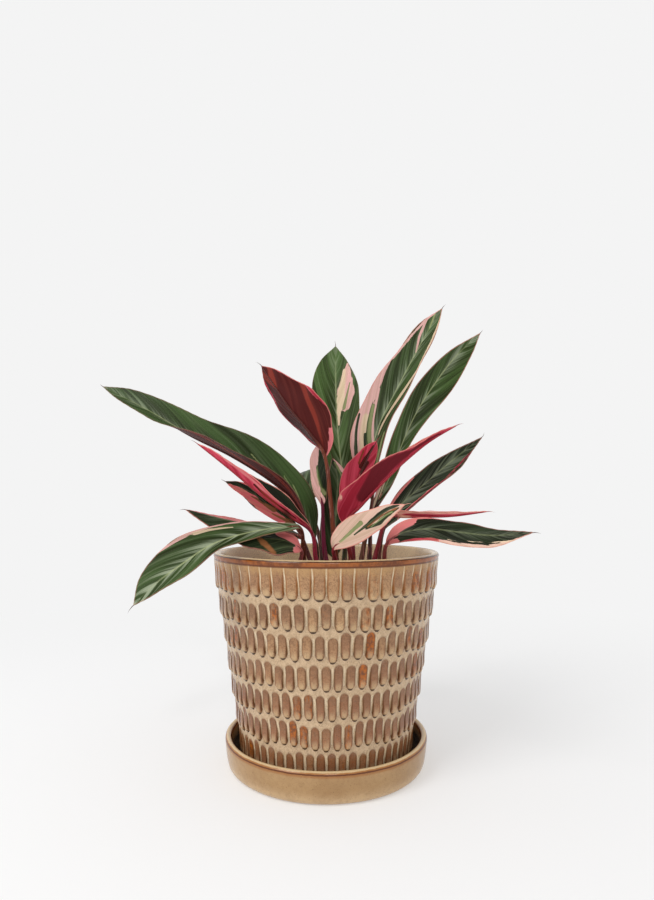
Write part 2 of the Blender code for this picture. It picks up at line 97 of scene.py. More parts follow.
class Finish:
    """A glaze, soil or leaf finish: a material whose nodes are all added in one way."""

    def __init__(self, name):
        self.material = bpy.data.materials.new(name)
        self.material.use_nodes = True
        self.tree = self.material.node_tree
        self.shader = self.tree.nodes["Principled BSDF"]

    def join(self, value, socket):
        if isinstance(value, Wire):
            self.tree.links.new(value.socket, socket)
        else:
            socket.default_value = value

    def add(self, kind, settings, values, out=0):
        """One node of this kind, its settings made first, then a value or a wire in each named socket."""
        node = self.tree.nodes.new(kind)
        for name, setting in settings.items():
            setattr(node, name, setting)
        named = values.items() if isinstance(values, dict) else enumerate(values)
        for name, value in named:
            self.join(value, node.inputs[name])
        return Wire(self, node.outputs[out])

    def spot(self, x, y, z=0.0):
        return self.add("ShaderNodeCombineXYZ", {}, [x, y, z])

    def parts(self, vector):
        node = self.add("ShaderNodeSeparateXYZ", {}, [vector]).socket.node
        return [Wire(self, socket) for socket in node.outputs]

    def scaled(self, vector, times):
        return self.add("ShaderNodeVectorMath", {"operation": "SCALE"}, {0: vector, "Scale": times})

    def from_middle(self, x, y):
        """How far a point lies from the upright line through the pot's middle."""
        return self.add("ShaderNodeVectorMath", {"operation": "LENGTH"}, [self.spot(x, y)], out="Value")

    def millimetres(self):
        """Where a point lies on the object, in millimetres."""
        return self.scaled(self.add("ShaderNodeTexCoord", {}, {}, out="Object"), 1000.0)

    def drawn(self, name):
        """The three numbers that the piece's mesh carries under this name."""
        return self.parts(self.add("ShaderNodeAttribute", {"attribute_name": name}, {}, out="Vector"))

    def grain(self, vector, size, detail=2.0, rough=0.5):
        """Soft blotches of about this size, from 0 to 1."""
        values = {"Vector": vector, "Scale": 1.0 / size, "Detail": detail, "Roughness": rough}
        return self.add("ShaderNodeTexNoise", {}, values)

    def bump(self, height, distance, strength=1.0):
        """Small relief: the height goes from 0 to 1, the distance is its full depth in metres."""
        values = {"Height": height, "Distance": distance, "Strength": strength}
        self.join(self.add("ShaderNodeBump", {}, values), self.shader.inputs["Normal"])

    def set(self, **values):
        for name, value in values.items():
            self.join(value, self.shader.inputs[name.replace("_", " ")])


def tint(red, green, blue):
    """A colour as it is seen, from 0 to 255, in the renderer's own light units."""
    seen = [value / 255 for value in (red, green, blue)]
    return (*[part / 12.92 if part < 0.04045 else ((part + 0.055) / 1.055) ** 2.4 for part in seen], 1.0)


def thrown(name, profile, sides):
    """A round piece, drawn up from a disc: the disc's face is extruded to each (radius, height) in turn."""
    bpy.ops.object.select_all(action="DESELECT")
    radius, height = profile[0]
    middle = (0, 0, height * MM)
    bpy.ops.mesh.primitive_circle_add(vertices=sides, radius=radius * MM, fill_type="NGON", location=middle)
    piece = bpy.context.object
    piece.name = piece.data.name = name
    bpy.ops.object.mode_set(mode="EDIT")
    for next_radius, next_height in profile[1:]:
        bpy.ops.mesh.extrude_region_move(
            TRANSFORM_OT_translate={"value": (0, 0, (next_height - height) * MM)})
        ratio = next_radius / radius
        bpy.ops.transform.resize(value=(ratio, ratio, 1), center_override=(0, 0, next_height * MM))
        radius, height = next_radius, next_height
    bpy.ops.mesh.select_all(action="SELECT")
    bpy.ops.mesh.normals_make_consistent(inside=False)
    bpy.ops.object.mode_set(mode="OBJECT")
    bpy.ops.object.transform_apply(location=True, rotation=True, scale=True)
    bpy.ops.object.shade_smooth_by_angle(angle=math.radians(50))
    return piece


def hand_made(piece, amount, size):
    """Moves the surface in and out by up to this many millimetres, in waves of this size."""
    for point in piece.data.vertices:
        flat = Vector((point.co.x, point.co.y, 0))
        swell = amount * noise.noise(point.co * 1000 / size)
        if flat.length > 1e-6:
            point.co += flat.normalized() * swell * MM


saucer = thrown("glazed_saucer", SAUCER_PROFILE, sides=160)
hand_made(saucer, amount=0.25, size=45)

saucer_glaze = Finish("saucer_glaze")
here = saucer_glaze.millimetres()
x, y, z = saucer_glaze.parts(here)
radius = saucer_glaze.from_middle(x, y)
cloud = saucer_glaze.grain(here, 22.0, 3.0, 0.6)
mottle = saucer_glaze.grain(here, 3.0, 3.0, 0.6)
speck = saucer_glaze.grain(here, 0.55, 1.0).ease(0.66, 0.72)
wall = cloud.blend(tint(182, 148, 104), tint(148, 112, 72))
wall = ((z + 4.0 * cloud).ease(13.0, 3.0) * 0.6).blend(wall, tint(212, 182, 142))
wall = (mottle.ease(0.4, 0.7) * 0.25).blend(wall, tint(138, 106, 72))
# Painted shade: the saucer's inner wall and floor, in the narrow gap round the pot's foot, are dark brown.
inside_painted_shade = cloud.blend(tint(78, 58, 34), tint(46, 34, 22))
inside = radius.ease(71.6, 70.6) * z.ease(3.0, 3.9)
body = inside.blend(wall, inside_painted_shade)
edge = z + (mottle - 0.5) * 0.5 + (cloud - 0.5) * 0.6
body = (edge.ease(18.2, 20.0) * 0.7).blend(body, tint(150, 92, 40))
body = edge.ease(20.2, 20.7).blend(body, tint(92, 46, 16))
body = edge.ease(21.1, 21.6).blend(body, tint(160, 106, 54))
body = edge.ease(21.9, 22.3).blend(body, tint(204, 176, 134))
body = (speck * 0.55).blend(body, tint(84, 58, 38))
saucer_glaze.set(Base_Color=body, Roughness=0.14 + 0.14 * cloud, Specular_IOR_Level=0.4)
saucer_glaze.bump(cloud * 0.7 + mottle * 0.3, 0.0006, 0.5)
saucer.data.materials.append(saucer_glaze.material)
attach(saucer, "root")
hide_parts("saucer")

# The pot is a tapered stoneware vessel. Seven rows of rounded tongues, 58 to a row, hang over one
# another like shingles. They were pressed in the clay, and the runny glaze pools cream between them.
TONGUES = 58
ROWS = 7
ROW_PITCH = 20.0
ROW_ONE_BOTTOM = 133.7
ROW_ONE_RADIUS = 83.6
ROW_STEP = 2.98
ROWS_TOP = 156.4
ROW_OVERLAP = 0.9
LAST_ROW_DROP = 3.0
FIRST_TONGUE_WIDE = 0.82
TONGUE_WIDE = 0.74
TONGUE_ROUNDING = 4.0
TONGUE_END_HEIGHT = 1.5
GROOVE_DEPTH = 1.35
GROOVE_DIP = 0.8
UNDERCUT = 0.45
SWAY = 0.007
ACROSS_A_TONGUE = (0.0, 0.09, 0.13, 0.17, 0.33, 0.37, 0.41, 0.5, 0.59, 0.63, 0.67, 0.83, 0.87, 0.91)
DOWN_A_TONGUE = (0.0, 0.1, 0.22, 0.36, 0.52, 0.66, 0.77, 0.85, 0.91, 0.95, 0.98, 1.0)
LIP = [
    (76.0, 130.0), (77.6, 143.0), (78.9, 152.0), (79.5, 156.0), (79.9, 157.6), (80.7, 158.5), (82.2, 159.0),
    (83.6, 158.8), (84.5, 158.1), (84.95, 157.2), (85.0, 156.5),
]
POT_FOOT = [
    (62.4, 9.5), (62.0, 6.3), (61.7, 5.0), (60.8, 4.3), (56.0, 4.3), (54.5, 6.3), (30.0, 6.3), (7.0, 6.3),
]
POT_INSIDE = [
    (7.0, 10.3), (40.0, 10.3), (54.0, 10.4), (57.4, 12.0), (59.0, 16.0), (64.0, 50.0), (70.7, 95.0),
]

draw = random.Random(4)
tongue_drops = [[draw.uniform(-1.3, 1.1) for tongue in range(TONGUES)] for row in range(ROWS)]
draw = random.Random(21)
tongue_swells = [[draw.uniform(-0.3, 0.3) for tongue in range(TONGUES)] for row in range(ROWS)]


def soft_step(value, low, high):
    share = min(1.0, max(0.0, (value - low) / (high - low)))
    return share * share * (3 - 2 * share)


def tongue_at(row, turn):
    """Which tongue of the row this is, and how far off its middle: 0 on its crest, 1 in the groove."""
    place = turn + row / 2
    tongue = math.floor(place + 0.5)
    return tongue % TONGUES, 2 * abs(place - tongue)


def tongue_tip(row, turn):
    """The height of a row's lower edge at this many tongues round the pot."""
    if row < 0:
        return ROWS_TOP
    bottom = ROW_ONE_BOTTOM - ROW_PITCH * row
    if row == ROWS - 1:
        return bottom - LAST_ROW_DROP
    tongue, off = tongue_at(row, turn)
    wide = FIRST_TONGUE_WIDE if row == 0 else TONGUE_WIDE
    round_end = TONGUE_ROUNDING * (1 - math.sqrt(max(0.0, 1 - min(1.0, off / wide) ** 2)))
    return bottom + round_end + tongue_drops[row][tongue] * (1 - soft_step(off, wide, 1.0))


def tongue_point(row, part, turn):
    """A point of a row's relief as (radius, height), from its head at part 0 to its tip at part 1."""
    top = tongue_tip(row - 1, turn) - ROW_OVERLAP
    tip = tongue_tip(row, turn)
    tongue, off = tongue_at(row, turn)
    wide = FIRST_TONGUE_WIDE if row == 0 else TONGUE_WIDE
    raised = soft_step(off, wide + 0.08, wide - 0.08)
    head = (1.0 if row == 0 else 0.8) * (1 - soft_step(part, 0.0, 0.6))
    end = max(0.0, (part - 0.8) / 0.2)
    crest = head + tongue_swells[row][tongue] * math.sin(math.pi * part)
    crest -= TONGUE_END_HEIGHT * (1 - math.sqrt(max(0.0, 1 - end * end))) + 0.35 * off ** 3
    ground = head - GROOVE_DEPTH * soft_step(part, 0.05, 0.75) - GROOVE_DIP * soft_step(part, 0.6, 1.0)
    if row == ROWS - 1:
        ground += GROOVE_DIP * soft_step(part, 0.6, 1.0)
    radius = ROW_ONE_RADIUS - ROW_STEP * row + ground + (crest - ground) * raised
    return radius, top + (tip - top) * part


pot_rings = [("plain", place) for place in POT_INSIDE + LIP]
for row in range(ROWS):
    pot_rings += [("tongue", (row, part)) for part in DOWN_A_TONGUE]
    if row < ROWS - 1:
        pot_rings.append(("under", row))
pot_rings += [("plain", place) for place in POT_FOOT]
pot_rings.append(pot_rings[0])
pot_columns = [tongue + part for tongue in range(TONGUES) for part in ACROSS_A_TONGUE] + [TONGUES]


def formed_sheet(name, columns, rows, place):
    """A grid primitive, every point of which is pressed to where place(column, row) puts it."""
    bpy.ops.object.select_all(action="DESELECT")
    bpy.ops.mesh.primitive_grid_add(x_subdivisions=columns, y_subdivisions=rows, size=1)
    sheet = bpy.context.object
    sheet.name = sheet.data.name = name
    for index, point in enumerate(sheet.data.vertices):
        point.co = place(index % (columns + 1), index // (columns + 1))
    return sheet


def closed_up(sheet, angle):
    """Joins the two sides of a rolled-up sheet, turns its faces outwards and smooths it."""
    bpy.ops.object.mode_set(mode="EDIT")
    bpy.ops.mesh.select_all(action="SELECT")
    bpy.ops.mesh.remove_doubles(threshold=0.000002)
    bpy.ops.mesh.normals_make_consistent(inside=False)
    bpy.ops.object.mode_set(mode="OBJECT")
    bpy.ops.object.shade_smooth_by_angle(angle=math.radians(angle))


def pot_place(column, ring):
    turn = pot_columns[column] % TONGUES
    kind, place = pot_rings[ring]
    if kind == "plain":
        radius, height = place
    elif kind == "tongue":
        radius, height = tongue_point(*place, turn)
    else:
        radius, height = tongue_point(place, 1.0, turn)
        radius -= UNDERCUT * soft_step(tongue_at(place, turn)[1], 1.0, 0.4)
        height -= 0.25
    angle = math.tau * turn / TONGUES
    if kind != "plain":
        angle += SWAY * noise.noise(Vector((16 * math.cos(angle), 16 * math.sin(angle), height / 9)))
    return Vector((radius * math.cos(angle), radius * math.sin(angle), height)) * MM


pot = formed_sheet("glazed_pot", len(pot_columns) - 1, len(pot_rings) - 1, pot_place)

# The glaze follows the tongues. Each face's corners carry how far round the row they lie, in tongues, the
# row from 0 to 6, and the height above the tongue's tip. Above the rows it is row -1, below them row 7.
relief = pot.data.attributes.new("relief", "FLOAT_VECTOR", "CORNER")
for face in pot.data.polygons:
    corners = [pot.data.loops[loop].vertex_index for loop in face.loop_indices]
    upper = min(corner // len(pot_columns) for corner in corners)
    kind, place = pot_rings[upper]
    for loop, corner in zip(face.loop_indices, corners):
        turn = pot_columns[corner % len(pot_columns)]
        if kind == "plain":
            relief.data[loop].vector = (turn, -1 if upper < len(POT_INSIDE + LIP) else ROWS, 9)
            continue
        row = place[0] if kind == "tongue" else place
        tip = ROW_ONE_BOTTOM - ROW_PITCH * row + tongue_drops[row][tongue_at(row, turn)[0]]
        height = pot.data.vertices[corner].co.z / MM
        relief.data[loop].vector = (turn + row / 2, row, height - tip)
closed_up(pot, 35)

pot_glaze = Finish("pot_glaze")
here = pot_glaze.millimetres()
x, y, z = pot_glaze.parts(here)
around, row, rise = pot_glaze.drawn("relief")
tongue = (around + 0.5).work("FLOOR")
beside = 2 * (around - tongue)
this_tongue = {"Vector": pot_glaze.spot(tongue, row)}
chances = pot_glaze.add("ShaderNodeTexWhiteNoise", {"noise_dimensions": "2D"}, this_tongue, out="Color")
chance, rust_chance, mauve_chance = pot_glaze.parts(chances)
grit = pot_glaze.grain(here, 0.8, 2.0, 0.6)
mottle = pot_glaze.grain(here, 2.2, 3.0, 0.65)
drift = pot_glaze.grain(pot_glaze.spot(x / 3.0, y / 3.0, z / 11.0), 1.0, 3.0, 0.6)
cloud = pot_glaze.grain(here, 26.0, 3.0, 0.6)
speck = pot_glaze.grain(here, 0.6, 1.0).ease(0.64, 0.7)
ragged = (mottle - 0.5) * 0.3
first_row = row.ease(0.6, 0.4)
wide = 0.76 + 0.13 * first_row
aside = abs(beside + (drift - 0.5) * 0.16)
pill = 17.4 + 2.4 * (chance - 0.5) + 40.0 * first_row
above = (rise - pill) / 3.4 + 1.0
above = above.work("MAXIMUM", above, 0.0)
reach = ((aside / wide) * (aside / wide) + above * above).work("SQRT") + ragged * (0.3 + 0.5 * above)
on_tongue = reach.ease(1.04 + 0.12 * above, 0.93 - 0.5 * above)
body = chance.blend(tint(178, 138, 98), tint(154, 112, 80))
mauve = (mauve_chance + (drift - 0.5) * 1.2 - 0.3 * first_row).ease(0.45, 0.9)
body = (mauve * 0.7).blend(body, tint(134, 96, 68))
lower = row.ease(0.5, 5.5)
body = (lower * 0.6).blend(body, mottle.ease(0.4, 0.65).blend(tint(126, 82, 56), tint(160, 88, 50)))
# Painted shade: the upper part of each tongue, below the first row, is darker.
body = (rise.ease(7.0, 15.0) * 0.3 * (1.0 - first_row)).blend(body, tint(108, 76, 52))
rust = (rust_chance + (drift - 0.5) * 0.7).ease(0.82, 0.95)
body = (rust * 0.92).blend(body, mottle.ease(0.35, 0.65).blend(tint(176, 92, 4), tint(116, 52, 2)))
salt = grit * 0.5 + mottle * 0.5
body = (salt.ease(0.42, 0.62) * 0.55).blend(body, tint(100, 70, 46))
# The lower end of each tongue is lighter: partly the glaze breaking pale at the raised end, partly a
# painted highlight.
end_glaze_and_highlight = rise.ease(8.0, 1.5) * reach.ease(0.9, 0.3)
body = (end_glaze_and_highlight * 0.45).blend(body, tint(218, 190, 146))
# A dark brown line round each tongue: partly darker glaze at its edge, partly painted shade round the
# raised tongue.
outline = reach.ease(0.58, 0.95) * above.ease(1.3, 0.6)
body = (outline * 0.8).blend(body, first_row.blend(tint(92, 54, 24), tint(140, 84, 34)))
ground = cloud.blend(tint(210, 184, 152), tint(184, 154, 120))
ground = (salt.ease(0.42, 0.66) * 0.5).blend(ground, tint(140, 112, 78))
halo = aside.ease(0.76, 1.0) * above.ease(0.6, 0.0)
ground = (halo * 0.55).blend(ground, tint(230, 214, 182))
glaze = on_tongue.blend(ground, body)
under_lip = (z + 12.0 * (drift - 0.5)).ease(146.0, 154.0) * first_row
glaze = (under_lip * 0.8).blend(glaze, tint(176, 138, 92))
# The dark crescent under each tongue's end: partly the glaze at its sharp edge, partly a painted shadow
# under the overhanging end.
crescent_glaze_and_shadow = (rise + ragged * 1.5).ease(1.3, 0.3) * (aside + beside * 0.12).ease(wide + 0.02, wide - 0.3)
glaze = (crescent_glaze_and_shadow * 0.92).blend(glaze, tint(52, 30, 18))
glaze = (aside.ease(0.93, 1.0) * first_row * 0.4).blend(glaze, tint(232, 218, 188))
# The plain tan glaze inside the pot, on the lip and at the foot is painted lighter than its own tone:
# painted light in the pot's shaded inside.
plain = cloud.blend(tint(252, 226, 184), tint(238, 206, 160))
plain = (grit.ease(0.45, 0.7) * 0.4).blend(plain, tint(168, 134, 96))
on_rows = row.ease(-0.5, -0.4) * row.ease(6.8, 6.6)
glaze = on_rows.blend(plain, glaze)
outside = pot_glaze.from_middle(x, y).ease(81.0, 82.4)
wave = z + ragged * 1.2 + (cloud - 0.5) * 0.6
rust_band = (cloud + (mottle - 0.5) * 0.4).ease(0.35, 0.65).blend(tint(158, 88, 34), tint(104, 52, 18))
glaze = (outside * wave.ease(153.4, 154.4)).blend(glaze, tint(96, 48, 20))
glaze = (outside * wave.ease(154.6, 155.4)).blend(glaze, rust_band)
glaze = (outside * wave.ease(157.3, 157.7)).blend(glaze, tint(78, 38, 14))
glaze = (outside * wave.ease(158.1, 158.5)).blend(glaze, tint(196, 168, 126))
glaze = (speck * 0.55).blend(glaze, tint(84, 56, 36))
pot_glaze.set(Base_Color=glaze, Roughness=0.08 + 0.16 * cloud, Specular_IOR_Level=0.4)
pot_glaze.bump(cloud * 0.3 + mottle * 0.5 + grit * 0.2, 0.0005, 0.6)
pot.data.materials.append(pot_glaze.material)
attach(pot, "root")
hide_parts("pot")

# The potting mix is dark peat and fine bark with white grains of perlite. It fills the pot to 22 mm
# under the rim, and its surface is loose and uneven.
SOIL_SIDES = 120
SOIL_TOP = 137.0
SOIL_RINGS = [
    (0.0, 10.6), (30.0, 10.6), (54.0, 10.8), (58.4, 16.0), (63.5, 50.0), (70.3, 95.0), (76.2, 134.5),
    (76.3, 135.8), (75.6, 136.6), (74.0, SOIL_TOP),
] + [(radius, SOIL_TOP) for radius in (*range(71, 2, -3), 2.5, 0)]


def soil_place(column, ring):
    radius, height = SOIL_RINGS[ring]
    angle = math.tau * (column % SOIL_SIDES) / SOIL_SIDES
    point = Vector((radius * math.cos(angle), radius * math.sin(angle), height))
    if height > 134:
        point.z += 1.0 * noise.noise(point / 9) + 0.7 * noise.noise(point / 3.1)
    return point * MM


soil = formed_sheet("potting_soil", SOIL_SIDES, len(SOIL_RINGS) - 1, soil_place)
closed_up(soil, 60)
peat = Finish("potting_mix")
here = peat.millimetres()
crumb = peat.grain(here, 2.0, 4.0, 0.65)
fine = peat.grain(here, 0.7, 3.0, 0.6)
earth = crumb.blend(tint(30, 22, 17), tint(88, 66, 48))
earth = fine.ease(0.62, 0.7).blend(earth, tint(120, 96, 72))
peat.set(Base_Color=earth, Roughness=0.9)
peat.bump(crumb * 0.6 + fine * 0.4, 0.0016)
soil.data.materials.append(peat.material)
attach(soil, "root")
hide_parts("soil")

# Grains of white perlite, 2 mm across, and flat chips of bark, 7 mm long, lie loose on the potting mix,
# half sunk in it. They came up as the pot was filled and watered.
GRAINS_REACH = 71
GRAINS_HEIGHT = 137.4
PERLITE_SIZE = (0.0011, 0.001, 0.0009)
BARK_SIZE = (0.0034, 0.0019, 0.0008)


def lay_grain(grain, size, turn):
    """Puts a copy of the grain on the soil, where the seeded draw says."""
    angle = draw.uniform(0, math.tau)
    reach = GRAINS_REACH * math.sqrt(draw.random())
    copy = bpy.data.objects.new(grain.name, grain.data.copy())
    bpy.context.collection.objects.link(copy)
    copy.location = Vector((reach * math.cos(angle), reach * math.sin(angle), GRAINS_HEIGHT)) * MM
    copy.scale = [part * draw.uniform(0.7, 1.3) for part in size]
    copy.rotation_euler = (draw.uniform(-turn, turn), draw.uniform(-turn, turn), draw.uniform(0, math.tau))
    copy.select_set(True)
    return copy


perlite = Finish("perlite")
pits = perlite.grain(perlite.millimetres(), 0.6, 2.0)
perlite.set(Base_Color=pits.blend(tint(214, 208, 196), tint(170, 160, 146)), Roughness=0.9)
perlite.bump(pits, 0.0003)
bark = Finish("bark")
grained = bark.grain(bark.millimetres(), 1.4, 3.0)
bark.set(Base_Color=grained.blend(tint(58, 38, 26), tint(112, 78, 52)), Roughness=0.85)
bark.bump(grained, 0.0005)
bpy.ops.object.select_all(action="DESELECT")
bpy.ops.mesh.primitive_ico_sphere_add(subdivisions=1, radius=1.0)
round_grain = bpy.context.object
round_grain.name = "perlite_grain"
round_grain.data.materials.append(perlite.material)
bpy.ops.mesh.primitive_cube_add(size=2.0)
flat_grain = bpy.context.object
flat_grain.name = "bark_chip"
bpy.ops.object.mode_set(mode="EDIT")
bpy.ops.mesh.bevel(offset=0.35, segments=1, affect="EDGES")
bpy.ops.object.mode_set(mode="OBJECT")
flat_grain.data.materials.append(bark.material)
bpy.ops.object.select_all(action="DESELECT")
draw = random.Random(12)
grains = [lay_grain(round_grain, PERLITE_SIZE, turn=3.0) for number in range(110)]
grains += [lay_grain(flat_grain, BARK_SIZE, turn=0.4) for number in range(90)]
bpy.data.objects.remove(round_grain)
bpy.data.objects.remove(flat_grain)
bpy.context.view_layer.objects.active = grains[0]
bpy.ops.object.join()
loose_grains = bpy.context.object
loose_grains.name = loose_grains.data.name = "loose_grains"
bpy.ops.object.transform_apply(location=True, rotation=True, scale=True)
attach(loose_grains, "root")
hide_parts("soil")

# Each leaf grew as one piece: a thin stalk from the root, and a folded, waved blade with a ridge under
# its midrib. The upper side is green with cream and pink marks, and the underside is maroon.
STALK_START = 112
STALK_BOTTOM = 124
OUT_OF_SOIL = 139.5
CHORDS = 24
ROW_LENGTH = 1.25
COLUMNS_PER_MM = 1.15
BLADE_THICKNESS = 0.45
FOLD_ROUNDING = 0.006
KEEL_RISE = 0.0775
PLEAT_HEIGHT = 0.28
PLEAT_PITCH = 12
VEIN_SLANT = 1.9
VEIN_BEND = 1.4
LEFT_WAVE_STARTS = 0.37
GRAIN_STEP = 7.3
RIB_EVERY = 3
STALK_RADIUS = 2.9
RIB_RADIUS = 1.3
TIP_LENGTH = 6
TUBE_SIDES = 12
STATIONS = (0.0, 0.1, 0.3, 0.5, 0.7, 0.9, 1.0)

# Each paint is a pale one or a green one, with its place from cream to wine or from brown to sage.
PAINTS = {
    "cream": (True, 0.0), "peach": (True, 0.5), "pink": (True, 1.0), "rose": (True, 2.0),
    "coral": (True, 2.5), "crimson": (True, 3.0), "wine": (True, 4.0),
    "brown": (False, -1.0), "dark": (False, 0.0), "green": (False, 0.7), "sage": (False, 2.0),
}
